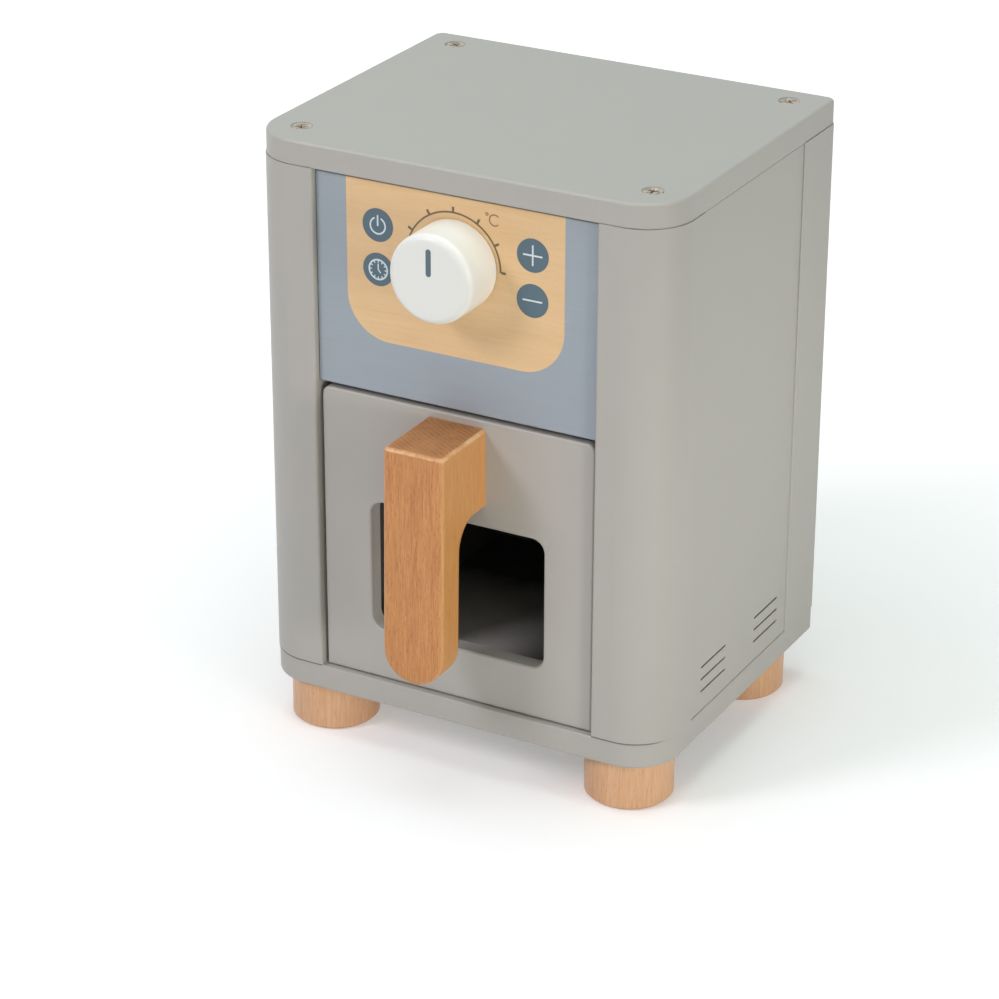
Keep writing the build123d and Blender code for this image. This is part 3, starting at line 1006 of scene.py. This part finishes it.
@dataclass
class Print:
    """A printed mark, drawn in millimetres on a plane that faces the front, then given its thickness."""

    thickness: float = 0.08
    sink: float = 0.02
    ring_steps: int = 60
    cap_steps: int = 6
    sharpest: float = 0.3
    mesh: bmesh.types.BMesh = field(default_factory=bmesh.new)

    def outline(self, points: Iterable[Point]) -> None:
        """Add one filled outline."""
        self.mesh.faces.new([self.mesh.verts.new((x * MM, 0.0, z * MM)) for x, z in points])

    def disc(self, centre: Point, radius: float) -> None:
        """Add a filled circle."""
        self.outline(bow(centre, radius, 0.0, 360.0)[:-1])

    def ring(self, centre: Point, radius: float, width: float) -> None:
        """Add a full ring of this middle radius.

        Args:
            centre: the ring's middle.
            radius: its middle radius.
            width: how wide its line is.
        """
        inner, outer = radius - width / 2, radius + width / 2
        step = 360.0 / self.ring_steps
        for i in range(self.ring_steps):
            corners = ((inner, i), (outer, i), (outer, i + 1), (inner, i + 1))
            self.outline([polar(centre, r, step * k) for r, k in corners])

    def stroke(self, path: Sequence[Point], width: float, cap: Cap = Cap.ROUND) -> None:
        """Add a stroke of even width.

        Args:
            path: its middle line.
            width: how wide it is.
            cap: how its ends finish.
        """
        points = [Vector(p) for p in path]
        ways = [(b - a).normalized() for a, b in zip(points, points[1:])]
        ways = [ways[0]] + ways + [ways[-1]]
        left = []
        right = []
        for i, point in enumerate(points):
            middle = (ways[i] + ways[i + 1]).normalized()
            side = Vector((-middle.y, middle.x)) * (width / 2) / max(self.sharpest, middle.dot(ways[i]))
            left.append(tuple(point + side))
            right.append(tuple(point - side))
        ends = ([], [])
        if cap is Cap.ROUND:
            ends = (self._cap(points[-1], ways[-1], width), self._cap(points[0], -ways[0], width))
        self.outline(left + ends[0] + right[::-1] + ends[1])

    def _cap(self, tip: Vector, way: Vector, width: float) -> list[Point]:
        """Give the points round a stroke's end, from its left side to its right.

        Args:
            tip: the end of the stroke's middle line.
            way: the way that the end points.
            width: how wide the stroke is.

        Returns:
            The cap's points.
        """
        left = math.degrees(math.atan2(way.y, way.x)) + 90
        step = 180 / self.cap_steps
        return [polar((tip.x, tip.y), width / 2, left - step * i) for i in range(1, self.cap_steps)]

    def plus(self, centre: Point, reach: float, width: float) -> None:
        """Add a plus sign as one outline.

        Args:
            centre: the sign's middle.
            reach: how far each arm goes.
            width: how wide each arm is.
        """
        half = width / 2
        corner = [(reach, half), (half, half), (half, reach)]
        points = []
        for quarter in range(4):
            turn = Matrix.Rotation(math.radians(90 * quarter), 2)
            points += [tuple(Vector(centre) + turn @ Vector(p)) for p in corner]
        self.outline(points)

    def lay(self, name: str, face_y: float, finish: Finish, body: str) -> bpy.types.Object:
        """Lay the mark on a face.

        Args:
            name: the piece's name.
            face_y: where the face is, in metres.
            finish: the mark's ink.
            body: the body that it moves with.

        Returns:
            The new object.
        """
        grown = bmesh.ops.extrude_face_region(self.mesh, geom=self.mesh.faces[:])
        front = [g for g in grown["geom"] if isinstance(g, bmesh.types.BMVert)]
        bmesh.ops.translate(self.mesh, vec=(0.0, face_y + self.sink * MM, 0.0), verts=self.mesh.verts[:])
        bmesh.ops.translate(self.mesh, vec=(0.0, -(self.sink + self.thickness) * MM, 0.0), verts=front)
        return add_piece(name, self.mesh, finish, body)


@dataclass
class Casing:
    """The painted boards and posts, and the feet."""

    boards: tuple[str, ...] = ("top_panel", "bottom_panel", "back_panel")
    sides: tuple[str, ...] = ("left_side_panel", "right_side_panel")
    rear_posts: tuple[str, ...] = ("rear_left_post", "rear_right_post")
    posts: tuple[str, ...] = ("front_left_post", "front_right_post")
    feet: tuple[str, ...] = ("foot_front_left", "foot_front_right", "foot_rear_left", "foot_rear_right")

    def build(self) -> None:
        """Dress every board and foot."""
        joint_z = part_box("bottom_panel")[1].z / MM
        # front posts: a painted shadow line at their joint with the bottom panel
        post_paint = JointShadowPaint("joint_shadow_grey_paint", "grey_paint", GREY, joint_z=joint_z)
        groups = (
            (self.boards, GREY_PAINT),
            (self.sides, SIDE_PAINT),
            (self.rear_posts, REAR_PAINT),
            (self.posts, post_paint),
            (self.feet, FOOT_BEECH),
        )
        for nodes, finish in groups:
            for node in nodes:
                dress(node, finish)


@dataclass
class ControlPanel:
    """The control board, its stain, and the marks printed on its bare field, in millimetres."""

    stain: Colour = Colour(152, 162, 171)
    wood_light: Colour = Colour(231, 196, 148)
    wood_dark: Colour = Colour(216, 179, 130)
    field_middle: float = -0.42
    field_half_width: float = 42.5
    field_bottom: float = 161.5
    field_corner: float = 16.6
    visible_half_width: float = 55.3
    # how much of the board's top is hidden under the top panel's edge; the painted seam shadow lies just
    # below it
    hidden_top: float = 1.0
    mark_radius: float = 6.05
    mark_spacing: float = 16.25
    mark_top: float = 204.2
    mark_left: float = -30.4
    mark_right: float = 29.85
    sign_thickness: float = 0.05
    line: float = 0.6
    power_drop: float = 0.2
    power_radius: float = 2.95
    power_ends: Span = (118.0, 422.0)
    power_bar: Span = (-0.1, 3.4)
    clock_radius: float = 3.6
    clock_hours: int = 12
    clock_tick_length: float = 0.75
    clock_tick_width: float = 0.42
    minute_hand: float = 2.0
    hour_hand: float = 1.3
    hour_angle: float = -50.0
    hand_width: float = 0.5
    plus_reach: float = 3.7
    minus_reach: float = 3.5
    scale_centre: Point = (-0.77, 195.72)
    scale_radius: float = 18.35
    scale_span: float = 180.0
    scale_step: float = 30.0
    tick_length: float = 1.7
    tick_width: float = 0.85
    degree_centre: Point = (12.28, 215.85)
    degree_radius: float = 0.45
    degree_width: float = 0.28
    letter_centre: Point = (15.22, 214.05)
    letter_radius: float = 1.95
    letter_ends: Span = (48.0, 312.0)
    letter_width: float = 0.42
    face_y: float = field(init=False, default=0.0)

    def build(self) -> None:
        """Stain the board and print its marks."""
        low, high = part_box("control_panel")
        finish = StainedPanel(
            "stained_panel", "slate_paint", self.stain, self.wood_light, self.wood_dark,
            self.field_middle, self.field_half_width, self.field_bottom, self.field_corner,
            self.visible_half_width, high.z / MM - self.hidden_top,
        )
        dress("control_panel", finish)
        self.face_y = low.y
        lower = self.mark_top - self.mark_spacing
        self.power_mark((self.mark_left, self.mark_top))
        self.clock_mark((self.mark_left, lower))
        self.plus_mark((self.mark_right, self.mark_top))
        self.minus_mark((self.mark_right, lower))
        self.scale()
        self.unit()

    def _spot(self, name: str, centre: Point) -> float:
        """Lay a mark's round slate ground, and give the height that its symbol lies on.

        Args:
            name: the ground's name.
            centre: its middle.

        Returns:
            Where the ground's face is, in metres.
        """
        ground = Print()
        ground.disc(centre, self.mark_radius)
        ground.lay(name, self.face_y, MARK_INK, "casing")
        return self.face_y - ground.thickness * MM

    def power_mark(self, centre: Point) -> None:
        """Print the power sign: a ring with a gap, and a bar through the gap.

        Args:
            centre: the mark's middle.
        """
        height = self._spot("power_spot", centre)
        sign = Print(self.sign_thickness)
        sign.stroke(bow(moved(centre, 0.0, -self.power_drop), self.power_radius, *self.power_ends), self.line)
        sign.stroke([moved(centre, 0.0, up) for up in self.power_bar], self.line)
        sign.lay("power_sign", height, SYMBOL_INK, "casing")

    def clock_mark(self, centre: Point) -> None:
        """Print the clock sign: a ring, twelve ticks and two hands.

        Args:
            centre: the mark's middle.
        """
        height = self._spot("clock_spot", centre)
        sign = Print(self.sign_thickness)
        sign.ring(centre, self.clock_radius, self.line)
        inner = self.clock_radius - self.line / 2
        for hour in range(self.clock_hours):
            angle = 360.0 / self.clock_hours * hour
            path = [polar(centre, r, angle) for r in (inner, inner - self.clock_tick_length)]
            sign.stroke(path, self.clock_tick_width, Cap.SQUARE)
        hands = [moved(centre, 0.0, self.minute_hand), centre, polar(centre, self.hour_hand, self.hour_angle)]
        sign.stroke(hands, self.hand_width)
        sign.lay("clock_sign", height, SYMBOL_INK, "casing")

    def plus_mark(self, centre: Point) -> None:
        """Print the plus sign.

        Args:
            centre: the mark's middle.
        """
        height = self._spot("plus_spot", centre)
        sign = Print(self.sign_thickness)
        sign.plus(centre, self.plus_reach, self.line)
        sign.lay("plus_sign", height, SYMBOL_INK, "casing")

    def minus_mark(self, centre: Point) -> None:
        """Print the minus sign.

        Args:
            centre: the mark's middle.
        """
        height = self._spot("minus_spot", centre)
        sign = Print(self.sign_thickness)
        ends = (-self.minus_reach, self.minus_reach)
        sign.stroke([moved(centre, across, 0.0) for across in ends], self.line)
        sign.lay("minus_sign", height, SYMBOL_INK, "casing")

    def scale(self) -> None:
        """Print the half-round scale with its ticks."""
        mark = Print()
        mark.stroke(bow(self.scale_centre, self.scale_radius, 0.0, self.scale_span), self.line, Cap.SQUARE)
        outer = self.scale_radius + self.line / 2
        for i in range(round(self.scale_span / self.scale_step) + 1):
            angle = self.scale_step * i
            path = [polar(self.scale_centre, r, angle) for r in (outer, outer + self.tick_length)]
            mark.stroke(path, self.tick_width, Cap.SQUARE)
        mark.lay("temperature_scale", self.face_y, SCALE_INK, "casing")

    def unit(self) -> None:
        """Print the degree sign and the letter C beside the scale."""
        mark = Print()
        mark.ring(self.degree_centre, self.degree_radius, self.degree_width)
        mark.stroke(bow(self.letter_centre, self.letter_radius, *self.letter_ends), self.letter_width)
        mark.lay("degree_mark", self.face_y, LETTER_INK, "casing")


@dataclass
class Dial:
    """The knob with its pointer, in millimetres from its axis, and what holds it behind the board."""

    pointer_low: float = 1.35
    pointer_high: float = 11.25
    pointer_width: float = 2.0
    pointer_thickness: float = 0.06

    def build(self) -> None:
        """Dress the knob and lay its pointer."""
        dress("knob", WHITE_PAINT)
        dress("knob_axle", DOWEL_WOOD)
        dress("knob_collar", DOWEL_WOOD)
        dress("knob_felt_washer", FELT)
        low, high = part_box("knob")
        axis_z = (low.z + high.z) / 2 / MM
        half = self.pointer_width / 2
        ends = (axis_z + self.pointer_low + half, axis_z + self.pointer_high - half)
        pointer = Print(self.pointer_thickness)
        pointer.stroke([(0.0, end) for end in ends], self.pointer_width)
        pointer.lay("knob_pointer", low.y, MARK_INK, "dial")


@dataclass
class Drawer:
    """The drawer's boards and its handle."""

    inner_boards: tuple[str, ...] = ("drawer_left_side", "drawer_right_side", "drawer_back")
    # a painted shade for the dark inside of the drawer, and a painted pool of window light on its floor
    floor_shade: Colour = Colour(60, 58, 55)
    floor_light: Colour = Colour(224, 223, 217)

    def build(self) -> None:
        """Dress the drawer."""
        dress("drawer_front", GREY_PAINT)
        for node in self.inner_boards:
            dress(node, INNER_SHADE_PAINT)
        front_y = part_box("drawer_floor")[0].y / MM
        lit_floor = WindowLightFloor("floor_window_light", "grey_paint", self.floor_shade, self.floor_light, front_y)
        dress("drawer_floor", lit_floor)
        dress("handle", BEECH)


class Head(Enum):
    """A screw head's shape."""

    COUNTERSUNK = "countersunk"
    PAN = "pan"


class Way(Enum):
    """Which way a screw's head faces."""

    UP = (0.0, 0.0, 1.0)
    DOWN = (0.0, 0.0, -1.0)
    REAR = (0.0, 1.0, 0.0)


@dataclass(frozen=True)
class Screw:
    """A cross-recessed wood screw, in millimetres, its head's face at height 0 and its tip below."""

    head_radius: float
    shank_radius: float
    length: float
    head: Head = Head.COUNTERSUNK
    pan_height: float = 1.8
    pan_profile: tuple[Point, ...] = ((0.72, 0.0), (0.92, -0.25), (1.0, -0.8))
    pitch: float = 1.7
    thread_share: float = 0.28
    thread_sharpness: float = 4.0
    thread_start: float = 1.0
    tip_share: float = 2.2
    tip_least: float = 0.06
    recess_share: float = 0.62
    recess_width: float = 0.9
    recess_taper: float = 0.7
    recess_depth: float = 1.5
    recess_floor: float = 0.45
    rim: float = 0.18
    rim_flat: float = 2.2
    rim_edge: float = 1.2
    sides: int = 24
    rows_per_turn: int = 5

    def form(self) -> bmesh.types.BMesh:
        """Build the screw.

        Returns:
            Its mesh, in metres.
        """
        mesh = bmesh.new()
        rings = [self._ring(mesh, r, z) for r, z in self._head_profile()]
        rings += self._thread_rings(mesh)
        for upper, lower in zip(rings, rings[1:]):
            for i in range(self.sides):
                j = (i + 1) % self.sides
                mesh.faces.new((upper[i], upper[j], lower[j], lower[i]))
        mesh.faces.new(rings[-1])
        self._recess(mesh, rings[0])
        for face in mesh.faces:
            face.smooth = True
        return mesh

    def _ring(self, mesh: bmesh.types.BMesh, radius: float, z: float) -> list[bmesh.types.BMVert]:
        """Add a level ring of points."""
        points = [polar((0.0, 0.0), radius, 360.0 * i / self.sides) for i in range(self.sides)]
        return [mesh.verts.new((x * MM, y * MM, z * MM)) for x, y in points]

    def _head_profile(self) -> list[Point]:
        """Give the head's outline as radius and height, from its face down to the neck.

        Returns:
            Its points, from the face to the neck.
        """
        head, neck = self.head_radius, self.shank_radius
        if self.head is Head.PAN:
            round_off = [(head * share, z) for share, z in self.pan_profile]
            return round_off + [(head, -self.pan_height), (neck, -self.pan_height)]
        flat, edge = head - self.rim_flat * self.rim, head - self.rim_edge * self.rim
        return [(flat, 0.0), (edge, -self.rim), (neck, neck - head)]

    def _thread_rings(self, mesh: bmesh.types.BMesh) -> list[list[bmesh.types.BMVert]]:
        """Add the shank with its thread, which climbs by one pitch a turn and ends in a point.

        Args:
            mesh: the screw under way.

        Returns:
            The rings of points, from the neck to the tip.
        """
        start = self._head_profile()[-1][1] - self.thread_start
        tip = self.tip_share * self.shank_radius
        rows = int((self.length + start) / self.pitch * self.rows_per_turn)
        rings = []
        for row in range(rows + 1):
            z = start - (self.length + start) * row / rows
            taper = max(self.tip_least, min(1.0, (self.length + z) / tip))
            ring = []
            for i in range(self.sides):
                phase = (z / self.pitch + i / self.sides) % 1.0
                ridge = max(0.0, 1.0 - abs(phase - 0.5) * self.thread_sharpness)
                radius = self.shank_radius * taper * (1.0 - self.thread_share * (1.0 - ridge))
                x, y = polar((0.0, 0.0), radius, 360.0 * i / self.sides)
                ring.append(mesh.verts.new((x * MM, y * MM, z * MM)))
            rings.append(ring)
        return rings

    def _recess(self, mesh: bmesh.types.BMesh, rim: list[bmesh.types.BMVert]) -> None:
        """Fill the head's face round a cross, and sink the cross to its small floor.

        Args:
            mesh: the screw under way.
            rim: the ring round the head's face.
        """
        reach = self.head_radius * self.recess_share
        half = self.recess_width / 2
        tip = half * self.recess_taper
        corner = [(reach, -tip), (reach, tip), (half, half)]
        shrink = self.recess_floor
        cross = []
        floor = []
        for quarter in range(4):
            turn = Matrix.Rotation(math.radians(90 * quarter), 2)
            for point in corner:
                x, y = turn @ Vector(point)
                cross.append(mesh.verts.new((x * MM, y * MM, 0.0)))
                floor.append(mesh.verts.new((x * shrink * MM, y * shrink * MM, -self.recess_depth * MM)))
        edges = [mesh.edges.new((a, b)) for a, b in zip(cross, cross[1:] + cross[:1])]
        edges += [mesh.edges.get((a, b)) for a, b in zip(rim, rim[1:] + rim[:1])]
        bmesh.ops.triangle_fill(mesh, use_beauty=True, edges=edges)
        count = len(cross)
        for i in range(count):
            j = (i + 1) % count
            mesh.faces.new((cross[i], cross[j], floor[j], floor[i]))
        mesh.faces.new(floor)


@dataclass
class ScrewSet:
    """Equal screws that stand for one CAD node, at the node's own corners.

    Each screw is turned a step further than the one before, as if driven by hand.
    """

    node: str
    screw: Screw
    way: Way
    body: str
    turn: float = 20.0
    turn_step: float = 37.0
    sharp_angle: float = 38.0
    place_digits: int = 5

    def build(self) -> None:
        """Make every screw of the set as one piece and hide the plain node."""
        mesh = bmesh.new()
        for number, place in enumerate(self._places()):
            one = self.screw.form()
            heading = Matrix.Rotation(math.radians(self.turn + self.turn_step * number), 4, "Z")
            up = Vector(Way.UP.value)
            upright = up.rotation_difference(Vector(self.way.value)).to_matrix().to_4x4()
            bmesh.ops.transform(one, matrix=Matrix.Translation(place) @ upright @ heading, verts=one.verts[:])
            data = bpy.data.meshes.new("one_screw")
            one.to_mesh(data)
            one.free()
            mesh.from_mesh(data)
            bpy.data.meshes.remove(data)
        piece = add_piece(self.node + "_cut", mesh, PLATING, self.body)
        piece.data.set_sharp_from_angle(angle=math.radians(self.sharp_angle))
        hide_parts(self.node)

    def _places(self) -> list[Vector]:
        """Give the middle of each head's face, from the node's box.

        Two ends of the box that round to the same place, to 0.01 mm, hold one screw.

        Returns:
            The places, in metres.
        """
        low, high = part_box(self.node)
        inset = self.screw.head_radius * MM
        facing = Vector(self.way.value)
        choices = []
        for axis in range(3):
            if facing[axis] != 0.0:
                choices.append([high[axis] if facing[axis] > 0 else low[axis]])
            else:
                ends = (low[axis] + inset, high[axis] - inset)
                choices.append(sorted({round(end, self.place_digits) for end in ends}))
        return [Vector((x, y, z)) for x in choices[0] for y in choices[1] for z in choices[2]]


@dataclass
class Fasteners:
    """Every screw in the toy."""

    board_screw: Screw = Screw(3.8, 2.0, 36.0)
    foot_screw: Screw = Screw(3.8, 2.0, 40.0)
    back_screw: Screw = Screw(3.0, 1.4, 20.0, pitch=1.3)
    handle_screw: Screw = Screw(3.0, 1.4, 22.0, pitch=1.3)
    collar_screw: Screw = Screw(3.2, 1.4, 13.8, head=Head.PAN, pitch=1.3)

    def build(self) -> None:
        """Make each set."""
        for made in (
            ScrewSet("top_screws", self.board_screw, Way.UP, "casing"),
            ScrewSet("foot_screws", self.foot_screw, Way.DOWN, "casing"),
            ScrewSet("back_panel_screws", self.back_screw, Way.REAR, "casing"),
            ScrewSet("handle_screws", self.handle_screw, Way.REAR, "drawer"),
            ScrewSet("knob_collar_screw", self.collar_screw, Way.REAR, "dial"),
        ):
            made.build()


class Beam(Enum):
    """How a lamp throws its light."""

    WIDE = "AREA"
    NARROW = "SPOT"


@dataclass
class Lamp:
    """A soft lamp, aimed at a point of the toy, in metres, degrees and watts."""

    name: str
    azimuth: float
    elevation: float
    distance: float
    size: float
    power: float
    colour: Colour
    aim: tuple[float, float, float] = (0.0, 0.0, 0.115)
    beam: Beam = Beam.WIDE
    cone: float = 25.0

    def build(self) -> None:
        """Hang the lamp."""
        around = math.radians(self.azimuth)
        above = math.radians(self.elevation)
        level = math.cos(above)
        away = Vector((math.sin(around) * level, -math.cos(around) * level, math.sin(above)))
        data = bpy.data.lights.new(self.name, self.beam.value)
        if self.beam is Beam.WIDE:
            data.shape = "DISK"
            data.size = self.size
        else:
            data.shadow_soft_size = self.size / 2
            data.spot_size = math.radians(self.cone)
            data.spot_blend = 1.0
        data.energy = self.power
        data.color = self.colour.linear()[:3]
        lamp = bpy.data.objects.new(self.name, data)
        lamp.location = Vector(self.aim) + away * self.distance
        lamp.rotation_euler = away.to_track_quat("Z", "Y").to_euler()
        lamp.visible_camera = False
        bpy.context.scene.collection.objects.link(lamp)
        LOG.info("%s: %.0f W, %.1f m across", self.name, self.power, self.size)


@dataclass
class Studio:
    """A pale floor, a white surround, soft lamps and the camera, in metres and degrees."""

    surround: float = 0.2
    surround_colour: Colour = Colour(255, 251, 246)
    floor_radius: float = 6.0
    floor_sides: int = 96
    floor_colour: Colour = Colour(236, 236, 236)
    floor_drop: float = 0.0002
    # glow dimmer near the toy and white far off: a painted shade round the toy
    glow_near: Colour = Colour(148, 148, 148)
    glow_middle: Colour = Colour(186, 186, 186)
    glow_far: Colour = Colour(255, 255, 255)
    near_to_middle: Span = (0.15, 0.36)
    middle_to_far: Span = (0.5, 1.6)
    camera_place: tuple[float, float, float] = (0.53346, -0.98928, 0.60953)
    camera_yaw: float = 28.788
    camera_pitch: float = 24.926
    camera_roll: float = 0.152
    camera_lens: float = 122.58
    camera_sensor: float = 36.0
    camera_clip: Span = (0.05, 40.0)
    lamps: tuple[Lamp, ...] = (
        Lamp("key_lamp", -35.0, 36.0, 1.6, 0.5, 8.9, Colour(252, 243, 255)),
        Lamp(
            "side_lamp", 66.0, 3.0, 1.1, 0.24, 20.0, Colour(255, 247, 243),
            aim=(0.081, -0.01, 0.095), beam=Beam.NARROW,
        ),
        Lamp("fill_lamp", 44.0, 18.0, 1.6, 1.9, 6.4, Colour(252, 254, 242)),
        Lamp("top_lamp", 0.0, 89.0, 2.0, 1.5, 21.0, Colour(238, 255, 253)),
    )

    def build(self) -> None:
        """Set up everything round the toy."""
        for lamp in self.lamps:
            lamp.build()
        self.make_surround()
        self.make_floor()
        self.make_camera()
        bpy.context.scene.view_settings.view_transform = "Standard"

    @staticmethod
    def seen(graph: Graph) -> Value:
        """Give 1 for rays that show the background: straight, mirrored or let through.

        Args:
            graph: the node graph that asks.

        Returns:
            1 for those rays and 0 for others.
        """
        path = graph.node("ShaderNodeLightPath").outputs
        kinds = ("Is Camera Ray", "Is Glossy Ray", "Is Transmission Ray")
        straight, mirrored, through = (Value(graph, path[kind]) for kind in kinds)
        return straight.most(mirrored).most(through)

    def make_surround(self) -> None:
        """Make the world: plain light for the toy, and white where it is seen."""
        world = bpy.data.worlds.new("surround")
        world.use_nodes = True
        bpy.context.scene.world = world
        graph = Graph(world.node_tree)
        unseen, white = (
            graph.node("ShaderNodeBackground", None, {"Color": colour, "Strength": strength}).outputs[0]
            for colour, strength in ((self.surround_colour, self.surround), (Colour(255, 255, 255), 1.0))
        )
        both = graph.node("ShaderNodeMixShader", None, {0: self.seen(graph), 1: unseen, 2: white})
        graph.node("ShaderNodeOutputWorld", None, {"Surface": both.outputs[0]})

    def make_floor(self) -> None:
        """Lay the floor, which glows to white only where it is seen, so that the shadow stays; its glow is
        dimmer near the toy, a painted shade round it.
        """
        material = bpy.data.materials.new("pale_floor")
        material.use_nodes = True
        graph = Graph(material.node_tree)
        matt = graph.node("ShaderNodeBsdfDiffuse", None, {"Color": self.floor_colour})
        x, y, _ = graph.place()
        away = (x * x + y * y).root() * MM
        tint = graph.mix(away.rise(*self.near_to_middle), self.glow_near, self.glow_middle)
        tint = graph.mix(away.rise(*self.middle_to_far), tint, self.glow_far)
        glow = graph.node("ShaderNodeEmission", None, {"Color": tint, "Strength": self.seen(graph)})
        both = graph.node("ShaderNodeAddShader", None, {0: matt.outputs[0], 1: glow.outputs[0]})
        graph.node("ShaderNodeOutputMaterial", None, {"Surface": both.outputs[0]})
        mesh = bmesh.new()
        bmesh.ops.create_circle(mesh, cap_ends=True, radius=self.floor_radius, segments=self.floor_sides)
        data = bpy.data.meshes.new("pale_floor")
        mesh.to_mesh(data)
        mesh.free()
        data.materials.append(material)
        floor = bpy.data.objects.new("pale_floor", data)
        floor.location.z = -self.floor_drop
        bpy.context.scene.collection.objects.link(floor)

    def make_camera(self) -> None:
        """Set the camera at the photograph's angle."""
        yaw = math.radians(self.camera_yaw)
        pitch = math.radians(self.camera_pitch)
        level = math.cos(pitch)
        back = Vector((math.sin(yaw) * level, -math.cos(yaw) * level, math.sin(pitch)))
        data = bpy.data.cameras.new("photo_camera")
        data.lens = self.camera_lens
        data.sensor_width = self.camera_sensor
        data.clip_start, data.clip_end = self.camera_clip
        camera = bpy.data.objects.new("photo_camera", data)
        camera.location = self.camera_place
        straight = back.to_track_quat("Z", "Y").to_matrix()
        tilt = Matrix.Rotation(math.radians(self.camera_roll), 3, "Z")
        camera.rotation_euler = (straight @ tilt).to_euler()
        bpy.context.scene.collection.objects.link(camera)
        bpy.context.scene.camera = camera


def main() -> None:
    """Build and dress every sub-assembly, then the studio."""
    logging.basicConfig(level=logging.INFO, format="%(name)s %(message)s")
    for assembly in (Casing(), ControlPanel(), Dial(), Drawer(), Fasteners(), Studio()):
        assembly.build()


if __name__ == "__main__":
    main()
